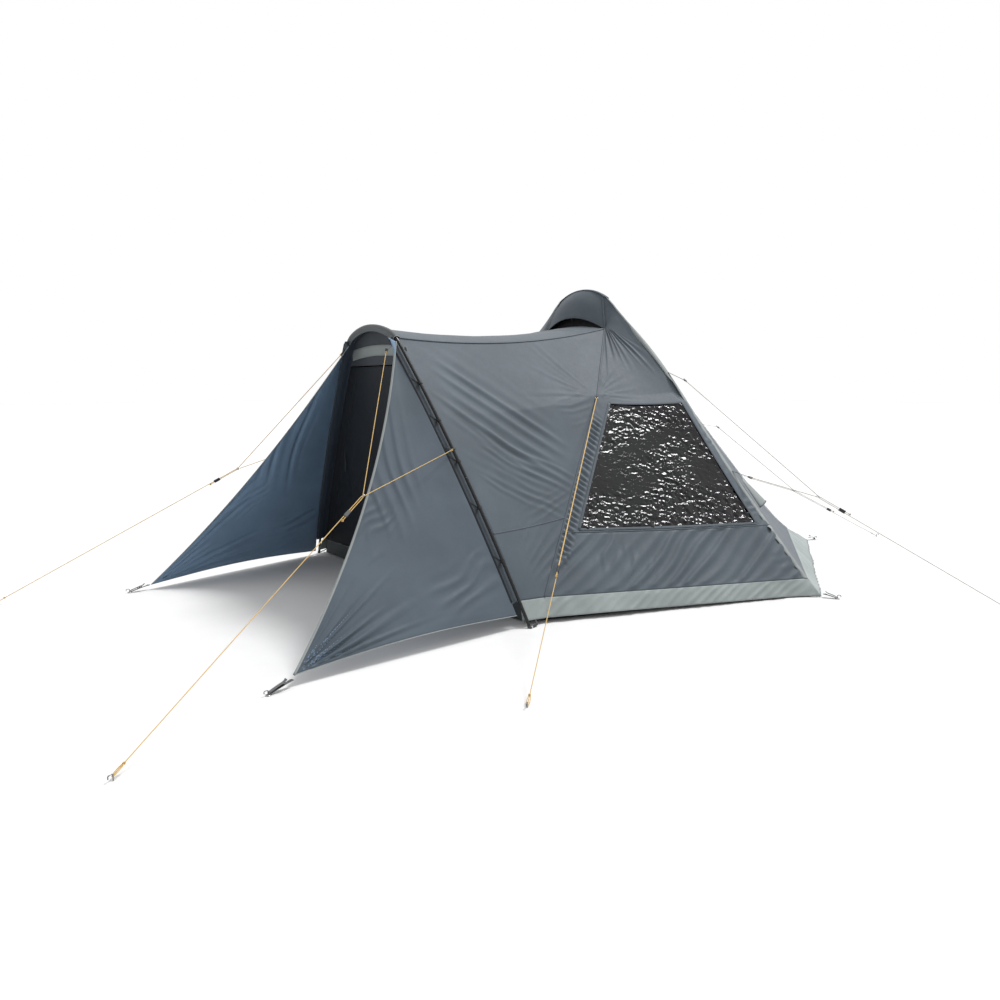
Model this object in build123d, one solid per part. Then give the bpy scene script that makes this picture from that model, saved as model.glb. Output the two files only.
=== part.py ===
from build123d import *
import math
import os

# A family teepee tent with a porch.  One inflated arch carries the pointed room, one
# leaning steel pole arch carries the entry, and two fabric wings shelter the doorway.
# Millimetres.  +Z is up, the door faces -Y, and the origin is on the ground, straight
# under the peak of the inflated arch.  "right" is +X and "left" is -X.

# ---- room: inflated arch and fabric outline ----
ARCH_HALF_SPAN = 2380        # foot of the arch edge, from the centre line
ARCH_VIRTUAL_PEAK = 2686     # where the two straight arch edges would meet
CROWN_RADIUS = 500           # rounding of the arch edge at the peak
BEAM_INSET = 102             # air beam centre line, inside the arch edge
BEAM_RADIUS = 55
BEAM_WALL = 2
REAR_CORNER = (1450, 1860)   # where each rear ridge meets the ground
REAR_RIDGE_TOP = (250, 30, 2360)
REAR_FLARE = (160, 70)       # outward flare of the ridge at the ground
FLARE_HEIGHT = 120
SKIRT_HEIGHT = 130
HOOD_CORNER = (360, -110, 2055)
HOOD_LIP_RISE = 115
HOOD_LIP_REACH = 50
SIDE_TAB = (800, -720, 1480)
SEAM_FOOT = (1504, -1850, 0)
RIDGE_SAG = 75               # dip of the roof between the entry arch and the hood
ROOF_CROWN = 80              # height of the barrel roof above its edges
FABRIC = 3
SEAM_GAP = 6

# ---- entry: pole arch, door and wings ----
ENTRY_Y = -2070
POLE_HALF_SPAN = 1400
POLE_LEAN = 0.13             # forward lean, per unit of height
POLE_TOP = 1986              # length of the arch, up its own leaning plane
POLE_RADIUS = 11
POLE_BORE = 9.5
POLE_TOP_RADIUS = 600
POLE_TOP_ANGLE = 25
SHOULDER_RADIUS = 220
SHOULDER_ANGLE = 55
FERRULE_LENGTH = 70
DOOR_SETBACK = 45            # door wall, behind the pole plane
DOOR_SILL = 140
DOOR_TOP = 1700
JAMB_OUTER = 34              # fabric edge, inside the pole's centre line
JAMB_WIDTH = 110
DOOR_GAP = 6
WING_CORNER = (1190, -3600, 60)
WING_FOOT = (1352, -2095, 92)
WING_HEAD = (330, -2330, 1850)
WING_EDGE_DIP = (700, -2757, 1120)

# ---- window, in the side panel ----
WINDOW = [(880, -663, 1416), (1165, -96, 1396), (1904, -110, 505), (1249, -1433, 540)]
WINDOW_GAP = 2

# ---- guy lines ----
CORD_RADIUS = 2.5
RING_RADIUS = 10             # to the middle of the ring's wire
WIRE_RADIUS = 2.5
WRAP_RADIUS = CORD_RADIUS + WIRE_RADIUS + 0.3
BRIDLE_WRAP_RADIUS = WRAP_RADIUS + 1.4
STRAND_OFFSET = WRAP_RADIUS + 0.1    # each strand of a doubled line, from their middle
RUNNER_LENGTH = 46
RUNNER_HOLE = 3.3
CORD_TAIL = 30               # free strand past the runner
PEG_HEIGHT = 30
PEG_HOOK = 22
LINE_HEIGHT_AT_PEG = 14


def vec(point):
    return Vector(*point)


def side_of(point, side):
    """The point on the right (+1) or, mirrored, on the left (-1)."""
    x, y, z = point
    return Vector(side * x, y, z)


def between(a, b, t):
    return a + (b - a) * t


def rod(start, end, radius):
    run = end - start
    return extrude(Plane(start, z_dir=run) * Circle(radius), run.length)


def torus(centre, axis, ring_radius, wire_radius):
    return Plane(centre, z_dir=axis) * Torus(ring_radius, wire_radius)


def block(centre, x_dir, z_dir, size):
    return Plane(centre, x_dir=x_dir, z_dir=z_dir) * Box(*size)


def group(solids):
    return Compound(children=solids)


# ---- outlines of the room ----
def arch_edge(height):
    """Point of the arch's outer edge on the right leg, at a height below the crown."""
    return (ARCH_HALF_SPAN * (1 - height / ARCH_VIRTUAL_PEAK), 0, height)


ARCH_SLOPE = math.atan2(ARCH_VIRTUAL_PEAK, ARCH_HALF_SPAN)
CROWN_CENTRE = ARCH_VIRTUAL_PEAK - CROWN_RADIUS / math.cos(ARCH_SLOPE)
CROWN_TANGENT = (CROWN_RADIUS * math.sin(ARCH_SLOPE), 0,
                 CROWN_CENTRE + CROWN_RADIUS * math.cos(ARCH_SLOPE))


def crown(x, y=0):
    return Vector(x, y, CROWN_CENTRE + math.sqrt(CROWN_RADIUS ** 2 - x ** 2))


def rear_ridge(height):
    """Right rear ridge: a straight line from the crown that flares out at the ground."""
    top_x, top_y, top_z = REAR_RIDGE_TOP
    t = height / top_z
    flare = math.exp(-height / FLARE_HEIGHT)
    foot_x = REAR_CORNER[0] - REAR_FLARE[0]
    foot_y = REAR_CORNER[1] - REAR_FLARE[1]
    return Vector(foot_x + (top_x - foot_x) * t + REAR_FLARE[0] * flare,
                  foot_y + (top_y - foot_y) * t + REAR_FLARE[1] * flare, height)


def front_seam(height):
    """Right seam between the porch wall and the side panel."""
    foot, tab, head = vec(SEAM_FOOT), vec(SIDE_TAB), vec(HOOD_CORNER)
    if height <= tab.Z:
        return between(foot, tab, height / tab.Z)
    return between(tab, head, (height - tab.Z) / (head.Z - tab.Z))


def hood_lip(u):
    """Front lip of the hood, u from -1 to 1 across."""
    rise = 1 - u * u
    return Vector(u * HOOD_CORNER[0], HOOD_CORNER[1] - HOOD_LIP_REACH * rise,
                  HOOD_CORNER[2] + HOOD_LIP_RISE * rise)


# ---- outline of the pole arch, in its own leaning plane ----
LEAN = math.atan(POLE_LEAN)
POLE_PLANE = Plane((0, ENTRY_Y, 0), x_dir=(1, 0, 0), z_dir=(0, -math.cos(LEAN), -math.sin(LEAN)))
DOOR_PLANE = POLE_PLANE.offset(-DOOR_SETBACK)
TOP_END = (POLE_TOP_RADIUS * math.sin(math.radians(POLE_TOP_ANGLE)),
           POLE_TOP - POLE_TOP_RADIUS * (1 - math.cos(math.radians(POLE_TOP_ANGLE))))
SHOULDER_END = (
    TOP_END[0] + SHOULDER_RADIUS * (math.sin(math.radians(SHOULDER_ANGLE))
                                    - math.sin(math.radians(POLE_TOP_ANGLE))),
    TOP_END[1] - SHOULDER_RADIUS * (math.cos(math.radians(POLE_TOP_ANGLE))
                                    - math.cos(math.radians(SHOULDER_ANGLE))))
LEG_CHORD = math.hypot(POLE_HALF_SPAN - SHOULDER_END[0], SHOULDER_END[1])
LEG_CHORD_ANGLE = math.degrees(math.atan2(SHOULDER_END[1], POLE_HALF_SPAN - SHOULDER_END[0]))
LEG_END_ANGLE = 2 * LEG_CHORD_ANGLE - SHOULDER_ANGLE
LEG_RADIUS = LEG_CHORD / (2 * math.sin(math.radians((LEG_END_ANGLE - SHOULDER_ANGLE) / 2)))


def pole_uv(angle):
    """Point of the right half of the pole, by its slope in degrees, in the pole plane."""
    a = math.radians(angle)
    if angle <= POLE_TOP_ANGLE:
        return (POLE_TOP_RADIUS * math.sin(a), POLE_TOP - POLE_TOP_RADIUS * (1 - math.cos(a)))
    if angle <= SHOULDER_ANGLE:
        radius, start, start_uv = SHOULDER_RADIUS, math.radians(POLE_TOP_ANGLE), TOP_END
    else:
        radius, start, start_uv = LEG_RADIUS, math.radians(SHOULDER_ANGLE), SHOULDER_END
    return (start_uv[0] + radius * (math.sin(a) - math.sin(start)),
            start_uv[1] - radius * (math.cos(start) - math.cos(a)))


def pole_point(angle, side=1):
    u, v = pole_uv(angle)
    return POLE_PLANE.from_local_coords(Vector(side * u, v, 0))


def pole_angle_at(v):
    """Slope of the leg at a distance v up the pole plane."""
    cosine = math.cos(math.radians(SHOULDER_ANGLE)) - (SHOULDER_END[1] - v) / LEG_RADIUS
    return math.degrees(math.acos(cosine))


def pole_path(start, end, side=1):
    """Tangent arcs along the pole between two slopes; negative slopes are on the left."""
    stops = [start]
    for corner in (-SHOULDER_ANGLE, -POLE_TOP_ANGLE, POLE_TOP_ANGLE, SHOULDER_ANGLE):
        if start < corner < end:
            stops.append(corner)
    stops.append(end)
    arcs = []
    for a, b in zip(stops, stops[1:]):
        marks = [pole_point(abs(s), side * math.copysign(1, s)) for s in (a, (a + b) / 2, b)]
        arcs.append(ThreePointArc(*marks))
    return Wire(arcs)


def tube(path, outer, inner):
    start = Plane(path @ 0, z_dir=path % 0)
    return sweep(start * Circle(outer), path=path) - sweep(start * Circle(inner), path=path)


# ---- fabric ----
def flat_panel(points, thickness=FABRIC, gap=SEAM_GAP, hole=None, edge=None):
    """A flat cloth panel through its first three points, thickness to its inner side."""
    a, b, c = points[:3]
    normal = (b - a).cross(c - a).normalized()
    plane = Plane(a, x_dir=b - a, z_dir=normal)
    local = [plane.to_local_coords(p) for p in points]
    flat = [Vector(p.X, p.Y) for p in local]
    outline = Polyline(*flat, close=True)
    if edge is not None:
        dip = plane.to_local_coords(edge)
        first, last = flat[-1], flat[0]
        outline = Wire(Polyline(*flat).edges() + [ThreePointArc(first, (dip.X, dip.Y), last)])
    face = make_face(outline)
    if gap:
        face = offset(face, amount=-gap, kind=Kind.INTERSECTION)
    if hole is not None:
        cut = [plane.to_local_coords(p) for p in hole]
        face -= make_face(Polyline(*[(p.X, p.Y) for p in cut], close=True))
    return plane * extrude(face, -thickness)


def above_ground(solid):
    return solid & Pos(0, 0, 2000) * Box(12000, 12000, 4000)


def draped_panel(rows, thickness=FABRIC):
    """A curved cloth panel through rows of points, thickness to its inner side."""
    count_v, count_u = len(rows), len(rows[0])

    def normal(j, i):
        along = rows[j][min(i + 1, count_u - 1)] - rows[j][max(i - 1, 0)]
        up = rows[min(j + 1, count_v - 1)][i] - rows[max(j - 1, 0)][i]
        return along.cross(up).normalized()

    inner = [[rows[j][i] - normal(j, i) * thickness for i in range(count_u)] for j in range(count_v)]
    faces = []

    def quad(a, b, c, d):
        faces.append(Face(Wire.make_polygon([a, b, c], close=True)))
        faces.append(Face(Wire.make_polygon([a, c, d], close=True)))

    for j in range(count_v - 1):
        for i in range(count_u - 1):
            quad(rows[j][i], rows[j][i + 1], rows[j + 1][i + 1], rows[j + 1][i])
            quad(inner[j][i], inner[j + 1][i], inner[j + 1][i + 1], inner[j][i + 1])
    rim = [(0, i) for i in range(count_u)]
    rim += [(j, count_u - 1) for j in range(1, count_v)]
    rim += [(count_v - 1, i) for i in range(count_u - 2, -1, -1)]
    rim += [(j, 0) for j in range(count_v - 2, 0, -1)]
    for (j0, i0), (j1, i1) in zip(rim, rim[1:] + rim[:1]):
        quad(rows[j0][i0], inner[j0][i0], inner[j1][i1], rows[j1][i1])
    return Solid(Shell(faces))


def mirrored(rows, side):
    """Rows of right-hand points moved to the asked side, kept facing outwards."""
    if side > 0:
        return rows
    return [[side_of(p, -1) for p in reversed(row)] for row in rows]


def shares(count, start=0.0, end=1.0):
    return [start + (end - start) * k / (count - 1) for k in range(count)]


def pole_inner_edge(height):
    """Right-hand fabric edge just behind the pole, at a height."""
    v = min(height / math.cos(LEAN), SHOULDER_END[1] + 90)
    angle = pole_angle_at(v)
    u = pole_uv(angle)[0]
    return POLE_PLANE.from_local_coords(Vector(u - 18, v, -24))


def roof_edge(t):
    """Right edge of the roof, t from the pole arch to the hood corner."""
    start = pole_inner_edge(1880)
    end = vec(HOOD_CORNER)
    point = between(start, end, t)
    return point - Vector(0, 0, RIDGE_SAG * 4 * t * (1 - t))


def roof_panel():
    rows = []
    for t in shares(9, 0.004, 0.985):
        edge = roof_edge(t)
        crown_rise = ROOF_CROWN * (1 - t) + 40 * t
        row = []
        for u in shares(7, -0.985, 0.985):
            row.append(Vector(edge.X * u, edge.Y, edge.Z + crown_rise * (1 - u * u)))
        rows.append(row)
    return draped_panel(rows)


def vent_hood():
    rows = []
    for v in shares(5, 0.0, 1.0):
        row = []
        for u in shares(9, -0.985, 0.985):
            lip = hood_lip(u)
            top = crown(CROWN_TANGENT[0] * u, -SEAM_GAP)
            row.append(between(lip, top, v) + Vector(0, -18, 18) * math.sin(math.pi * v))
        rows.append(row)
    return draped_panel(rows)


def vent_mesh():
    """Insect mesh that closes the gap under the hood's lip, set back inside it."""
    rows = []
    for v in (0.0, 1.0):
        row = []
        for u in shares(7, -0.9, 0.9):
            lip = hood_lip(u)
            low = Vector(u * (HOOD_CORNER[0] - 20), HOOD_CORNER[1] + 18,
                         HOOD_CORNER[2] - 4 + 34 * (1 - u * u))
            high = Vector(lip.X * 0.96, HOOD_CORNER[1] + 52, lip.Z + 8)
            row.append(between(low, high, v))
        rows.append(row)
    return draped_panel(rows, 1.5)


def extension_panel(side):
    rows = []
    low, top = SKIRT_HEIGHT + 8, roof_edge(0)
    for v in shares(7, 0.0, 1.0):
        height_pole = low + (top.Z - 14 - low) * v
        height_seam = low + (HOOD_CORNER[2] - 14 - low) * v
        row = []
        for u in shares(6, 0.012, 0.975):
            point = between(pole_inner_edge(height_pole), front_seam(height_seam), u)
            sag = RIDGE_SAG * 4 * u * (1 - u) * v
            row.append(point - Vector(0, 0, sag))
        rows.append(row)
    return draped_panel(mirrored(rows, side))


def rear_side_panel(side):
    low = SKIRT_HEIGHT + 8
    rows = []
    for v in shares(8, 0.0, 1.0):
        height_arch = low + (CROWN_TANGENT[2] - low) * v
        height_ridge = low + (REAR_RIDGE_TOP[2] - 20 - low) * v
        front = vec(arch_edge(height_arch)) + Vector(0, SEAM_GAP, 0)
        back = rear_ridge(height_ridge)
        rows.append([between(front, back, u) for u in shares(4, 0.0, 0.99 - 0.05 * v)])
    return draped_panel(mirrored(rows, side))


def rear_panel():
    low = SKIRT_HEIGHT + 8
    rows = []
    for v in shares(8, 0.0, 1.0):
        height = low + (REAR_RIDGE_TOP[2] - 6 - low) * v
        ridge = rear_ridge(height)
        row = []
        for u in shares(5, 0.98, -0.98):
            arch = crown(REAR_RIDGE_TOP[0] * u).Z - REAR_RIDGE_TOP[2]
            row.append(Vector(ridge.X * u, ridge.Y, ridge.Z + arch * v ** 6))
        rows.append(row)
    return draped_panel(rows)


def side_plane_point(point, side=1):
    """The point, dropped square onto the plane of the right side panel."""
    a, b, c = vec(SEAM_FOOT), Vector(ARCH_HALF_SPAN, 0, 0), vec(arch_edge(2000))
    normal = (b - a).cross(c - a).normalized()
    dropped = point - normal * (point - a).dot(normal)
    return side_of(dropped, side)


def side_panel_and_window(side):
    low = SKIRT_HEIGHT + 2
    corners = [front_seam(low), vec(arch_edge(low)), vec(arch_edge(CROWN_TANGENT[2] - 20)),
               vec(HOOD_CORNER)]
    corners = [side_plane_point(p, side) for p in corners]
    pane = [side_plane_point(vec(p), side) for p in WINDOW]
    if side < 0:
        corners = [corners[1], corners[0], corners[3], corners[2]]
        pane.reverse()
    panel = flat_panel(corners, hole=pane)
    window = flat_panel(pane, thickness=1.5, gap=WINDOW_GAP)
    return panel, window


def skirt(low_a, low_b, top_b, top_a):
    """A mud skirt strip between two ground points and two points above them."""
    rows = []
    for v in (0.0, 0.97):
        rows.append([between(between(low_a, top_a, v), between(low_b, top_b, v), u)
                     for u in shares(5, 0.004, 0.996)])
    return above_ground(draped_panel(rows)).solid()


def mirror_quad(points):
    """The same quad on the left, still in outward-facing order."""
    a, b, c, d = [side_of(p, -1) for p in points]
    return b, a, d, c


def side_skirt(side):
    foot = Vector(POLE_HALF_SPAN - 16, ENTRY_Y + 36, 0)
    top_front = side_plane_point(foot + Vector(-62, -10, SKIRT_HEIGHT))
    points = (foot, vec(arch_edge(0)), vec(arch_edge(SKIRT_HEIGHT)), top_front)
    return skirt(*(points if side > 0 else mirror_quad(points)))


def rear_skirts():
    behind = Vector(0, SEAM_GAP, 0)
    ridge_foot, ridge_top = rear_ridge(0), rear_ridge(SKIRT_HEIGHT)
    right = (vec(arch_edge(0)) + behind, ridge_foot, ridge_top, vec(arch_edge(SKIRT_HEIGHT)) + behind)
    foot, top = ridge_foot + Vector(-6, 4, 0), ridge_top + Vector(-6, 4, 0)
    rear = (foot, side_of(foot, -1), side_of(top, -1), top)
    return group([skirt(*right), skirt(*mirror_quad(right)), skirt(*rear)])


def groundsheet():
    front = ENTRY_Y + 70
    outline = [(1290, front), (2270, 0), (1370, 1760), (-1370, 1760), (-2270, 0), (-1290, front)]
    return extrude(make_face(Polyline(*outline, close=True)), 3)


# ---- door wall ----
def door_uv(v, inset):
    """Right-hand edge of the door wall, inset from the pole's centre line."""
    return (pole_uv(pole_angle_at(min(v, SHOULDER_END[1])))[0] - inset, v)


def door_plate(points, thickness, lift=0):
    face = make_face(Polyline(*points, close=True))
    return DOOR_PLANE.offset(lift) * extrude(face, -thickness)


LEAF_INSET = JAMB_OUTER + JAMB_WIDTH + DOOR_GAP


def door_surround():
    plates = []
    sill, top = DOOR_SILL, DOOR_TOP
    for side in (1, -1):
        points = [door_uv(sill, JAMB_OUTER), door_uv(top, JAMB_OUTER),
                  door_uv(top, LEAF_INSET - DOOR_GAP), door_uv(sill, LEAF_INSET - DOOR_GAP)]
        plates.append(door_plate([(side * u, v) for u, v in points], FABRIC))
    low, high = DOOR_TOP + DOOR_GAP, POLE_TOP - 60
    right = [door_uv(low, JAMB_OUTER), (door_uv(SHOULDER_END[1], JAMB_OUTER)), (190, high)]
    left = [(-u, v) for u, v in reversed(right)]
    plates.append(door_plate(right + left, FABRIC))
    return group(plates)


def door_threshold():
    sill = DOOR_SILL - DOOR_GAP
    right = [door_uv(5, JAMB_OUTER + 20), door_uv(sill, JAMB_OUTER + 20)]
    return above_ground(door_plate(right + [(-u, v) for u, v in reversed(right)], FABRIC))


def door_leaf():
    right = [door_uv(DOOR_SILL, LEAF_INSET), door_uv(DOOR_TOP - 4, LEAF_INSET)]
    return door_plate(right + [(-u, v) for u, v in reversed(right)], FABRIC)


ZIP_INSET = 16


def zip_slider():
    """Slider body and pull on the free (right) edge of the door leaf, at its foot."""
    v = DOOR_SILL + 60
    u = door_uv(v, LEAF_INSET + ZIP_INSET)[0]
    centre = DOOR_PLANE.from_local_coords(Vector(u, v, 5))
    up = door_edge_direction()
    body = block(centre, up.cross(DOOR_PLANE.z_dir), DOOR_PLANE.z_dir, (14, 26, 7))
    body = fillet(body.edges(), 2)
    pull = block(centre + up * -30 + DOOR_PLANE.z_dir * 1.5, up.cross(DOOR_PLANE.z_dir),
                 DOOR_PLANE.z_dir, (9, 46, 2.4))
    return body + pull


def door_edge_direction():
    low, high = door_uv(DOOR_SILL, LEAF_INSET), door_uv(DOOR_TOP - 4, LEAF_INSET)
    a = DOOR_PLANE.from_local_coords(Vector(*low, 0))
    b = DOOR_PLANE.from_local_coords(Vector(*high, 0))
    return (b - a).normalized()


# ---- wings ----
def wing(side):
    """Triangular porch wing: straight at the pole and the foot, dished along its front edge."""
    corner, foot, head = [side_of(p, side) for p in (WING_CORNER, WING_FOOT, WING_HEAD)]
    if side < 0:
        return flat_panel([head, foot, corner], gap=0, edge=side_of(WING_EDGE_DIP, side))
    return flat_panel([corner, foot, head], gap=0, edge=side_of(WING_EDGE_DIP, side))


# ---- inflated arch ----
def beam_centre_path(end_trim):
    radius = CROWN_RADIUS - BEAM_INSET
    slope = (math.sin(ARCH_SLOPE), math.cos(ARCH_SLOPE))
    tangent = Vector(radius * slope[0], 0, CROWN_CENTRE + radius * slope[1])
    down = Vector(math.cos(ARCH_SLOPE), 0, -math.sin(ARCH_SLOPE))
    rise_at_foot = BEAM_RADIUS * math.cos(ARCH_SLOPE) + 6
    foot = tangent + down * ((tangent.Z - rise_at_foot) / math.sin(ARCH_SLOPE) - end_trim)
    left_foot, left_tangent = side_of(foot, -1), side_of(tangent, -1)
    top = Vector(0, 0, CROWN_CENTRE + radius)
    return Wire([Line(left_foot, left_tangent), ThreePointArc(left_tangent, top, tangent),
                 Line(tangent, foot)])


def main_air_beam():
    path = beam_centre_path(0)
    start = Plane(path @ 0, z_dir=path % 0)
    inside = beam_centre_path(BEAM_WALL)
    inside_start = Plane(inside @ 0, z_dir=inside % 0)
    skin = sweep(start * Circle(BEAM_RADIUS), path=path)
    return skin - sweep(inside_start * Circle(BEAM_RADIUS - BEAM_WALL), path=inside)


VALVE_HEIGHT = 330
VALVE_RADIUS = 24


def valve_frame():
    """Plane on the rear surface of the right beam leg, facing backwards."""
    edge = vec(arch_edge(VALVE_HEIGHT))
    inward = Vector(-math.sin(ARCH_SLOPE), 0, -math.cos(ARCH_SLOPE))
    centre = edge + inward * BEAM_INSET
    return Plane(centre + Vector(0, BEAM_RADIUS, 0),
                 x_dir=(-math.cos(ARCH_SLOPE), 0, math.sin(ARCH_SLOPE)), z_dir=(0, 1, 0))


def valve_body():
    frame = valve_frame()
    flange = frame.offset(1) * extrude(Circle(VALVE_RADIUS) - Circle(9), 4)
    neck = frame.offset(5) * extrude(Circle(17) - Circle(9), 10)
    hinge = frame.offset(1) * Pos(0, 26, 4) * Box(16, 8, 6)
    return flange + neck + hinge


def valve_cap():
    frame = valve_frame()
    lid = frame.offset(15.4) * extrude(Circle(19), 5)
    arm = frame.offset(15.4) * Pos(0, 21, 2) * Box(10, 12, 4)
    grip = frame.offset(20.4) * extrude(Rectangle(24, 5), 6)
    return lid + arm + grip


# ---- pole arch ----
TOP_SECTION_ANGLE = SHOULDER_ANGLE + 0.45
LEG_SPLIT_ANGLE = (SHOULDER_ANGLE + LEG_END_ANGLE) / 2
FOOT_CLEAR = 16


def pole_leg(side):
    """Two leg tubes meet at mid-leg; each stops short of the ground for its tip."""
    end = pole_angle_at(FOOT_CLEAR)
    sections = []
    for start, stop in ((TOP_SECTION_ANGLE + 0.003, LEG_SPLIT_ANGLE - 0.003), (LEG_SPLIT_ANGLE + 0.003, end)):
        sections.append(tube(pole_path(start, stop, side), POLE_RADIUS, POLE_BORE).solid())
    return group(sections)


def pole_top():
    path = pole_path(-TOP_SECTION_ANGLE, TOP_SECTION_ANGLE)
    return tube(path, POLE_RADIUS, POLE_BORE)


def pole_rod(angle, length, radius, side):
    centre = pole_point(angle, side)
    ahead = (pole_point(angle + 0.01, side) - centre).normalized()
    return rod(centre - ahead * length / 2, centre + ahead * length / 2, radius)


def pole_ferrules():
    rods = []
    for side in (1, -1):
        for angle in (TOP_SECTION_ANGLE, LEG_SPLIT_ANGLE):
            rods.append(pole_rod(angle, FERRULE_LENGTH, POLE_BORE - 0.4, side).solid())
    return group(rods)


def pole_tips():
    tips = []
    for side in (1, -1):
        angle = pole_angle_at(FOOT_CLEAR)
        end = pole_point(angle, side)
        down = (end - pole_point(angle - 0.05, side)).normalized()
        plug = rod(end - down * 40, end + down * 1, POLE_BORE - 0.3)
        collar = rod(end + down * 0.6, end + down * 30, POLE_RADIUS + 3)
        tips.append(above_ground(plug + collar).solid())
    return group(tips)


CLIP_HEIGHTS = (420, 760, 1060, 1330, 1580)


def pole_clips():
    """Plastic clips that ring the pole and hold the fabric behind it."""
    clips = []
    for side in (1, -1):
        for v in CLIP_HEIGHTS:
            angle = pole_angle_at(v)
            ring = pole_rod(angle, 16, POLE_RADIUS + 4.5, side) - pole_rod(angle, 20, POLE_RADIUS + 0.6, side)
            clips.append(ring.solid())
    return group(clips)


def pole_sleeve():
    path = pole_path(-POLE_TOP_ANGLE - 20, POLE_TOP_ANGLE + 20)
    return tube(path, POLE_RADIUS + 4, POLE_RADIUS + 1)


# ---- webbing, buckles and pegs ----
STRAP_WIDTH = 25


def strap_between(a, b, width=STRAP_WIDTH, thickness=2):
    run = b - a
    flat = run.cross(Vector(0, 0, 1)).normalized()
    return block((a + b) / 2, flat, run.cross(flat), (width, run.length, thickness)).solid()


def strap_ends(side):
    """Start and ring centre of the corner straps, on one side."""
    return {
        "wing": (side_of((1192, -3608, 40), side), side_of((1208, -3752, 6), side)),
        "arch": (side_of((2392, 6, 26), side), side_of((2484, 42, 6), side)),
        "rear": (side_of((1458, 1872, 26), side), side_of((1492, 1944, 6), side)),
    }


def webbing_straps():
    straps = []
    for side in (1, -1):
        for start, ring in strap_ends(side).values():
            run = (ring - start).normalized()
            straps.append(strap_between(start, ring - run * 16))
        foot = side_of((POLE_HALF_SPAN + 8, ENTRY_Y + 70, 12), side)
        straps.append(strap_between(foot, side_of((POLE_HALF_SPAN + 3, ENTRY_Y + 18, 10), side), 16))
    return group(straps)


def ladder_locks():
    """Ladder-lock buckles on the wing straps: two side bars and three cross bars."""
    buckles = []
    for side in (1, -1):
        start, ring = strap_ends(side)["wing"]
        run = (ring - start).normalized()
        flat = run.cross(Vector(0, 0, 1)).normalized()
        up = flat.cross(run).normalized()
        centre = between(start, ring, 0.5) + up * 5.5
        frame = Plane(centre, x_dir=flat, z_dir=up)
        plate = frame * extrude(Rectangle(36, 34) - Pos(0, 8) * Rectangle(27, 8)
                                - Pos(0, -8) * Rectangle(27, 8), 4)
        buckles.append(plate.solid())
    return group(buckles)


def ground_peg(place, pull):
    """Hooked peg head: wire up from the ground, bent over away from the pull."""
    away = Vector(-pull.X, -pull.Y, 0).normalized()
    foot = Vector(place.X, place.Y, 0)
    top = foot + Vector(0, 0, PEG_HEIGHT)
    tip = top + away * PEG_HOOK
    path = FilletPolyline(foot, top, tip, tip + Vector(0, 0, -14), radius=6)
    return sweep(Plane(foot, z_dir=(0, 0, 1)) * Circle(WIRE_RADIUS), path=path).solid()


# ---- guy lines ----
# Each guy: two tabs (or one) on the tent, a ring, a runner and a peg, on the right side.
GUYS = {
    "front": {"tabs": [(818, -2224, 1130), (300, -2390, 1785)], "ring": (918, -2985, 910),
              "peg": (1530, -4540, 0), "runner": 175, "slide": 90},
    "side": {"tabs": None, "ring": (824, -757, 1452),
             "peg": (2190, -2880, 0), "runner": 1960, "slide": 900},
    "arch": {"tabs": [(1134, 16, 1592), (1765, 16, 835)], "ring": (2290, 40, 740),
             "peg": (3610, 380, 0), "runner": 190, "slide": 100},
    "rear": {"tabs": [(848, 1064, 1150), (1065, 1352, 640)], "ring": (1340, 1720, 510),
             "peg": (1870, 2550, 0), "runner": 460, "slide": 300},
}


def guy_geometry(guy, side):
    """Ring centre, axes and end points of one guy line."""
    ring = side_of(guy["ring"], side)
    peg = side_of(guy["peg"], side)
    end = Vector(peg.X, peg.Y, LINE_HEIGHT_AT_PEG)
    pull = (end - ring).normalized()
    if guy["tabs"]:
        first, second = [side_of(t, side) for t in guy["tabs"]]
        normal = (first - ring).cross(second - ring).normalized()
    else:
        normal = pull.cross(Vector(0, 0, 1)).normalized()
    across = normal.cross(pull).normalized()
    return ring, peg, end, pull, normal, across


def guy_bridle(guy, side):
    ring, _, _, pull, _, _ = guy_geometry(guy, side)
    first, second = [side_of(t, side) for t in guy["tabs"]]
    wire = ring - pull * RING_RADIUS
    half = (first - wire).get_angle(second - wire) / 2
    towards_tent = ((first - wire).normalized() + (second - wire).normalized()).normalized()
    corner = wire - towards_tent * BRIDLE_WRAP_RADIUS / math.sin(math.radians(half))
    path = FilletPolyline(first, corner, second, radius=BRIDLE_WRAP_RADIUS)
    tube_solid = sweep(Plane(first, z_dir=corner - first) * Circle(CORD_RADIUS), path=path)
    return tube_solid, path, (first, corner, second)


def guy_line_points(guy, side):
    """Tail past the runner, back round the ring, and down to the peg."""
    ring, _, end, pull, _, across = guy_geometry(guy, side)
    nose = ring + pull * (RING_RADIUS - WRAP_RADIUS)
    tail = nose + across * STRAND_OFFSET + pull * (guy["runner"] + RUNNER_LENGTH / 2 + CORD_TAIL)
    finish = nose - across * STRAND_OFFSET + pull * ((end - nose).dot(pull) - 8)
    return [tail, nose + across * STRAND_OFFSET, nose - across * STRAND_OFFSET, finish]


def guy_line(guy, side):
    points = guy_line_points(guy, side)
    path = FilletPolyline(*points, radius=WRAP_RADIUS)
    section = Plane(points[0], z_dir=points[1] - points[0]) * Circle(CORD_RADIUS)
    return sweep(section, path=path), path, points


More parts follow.
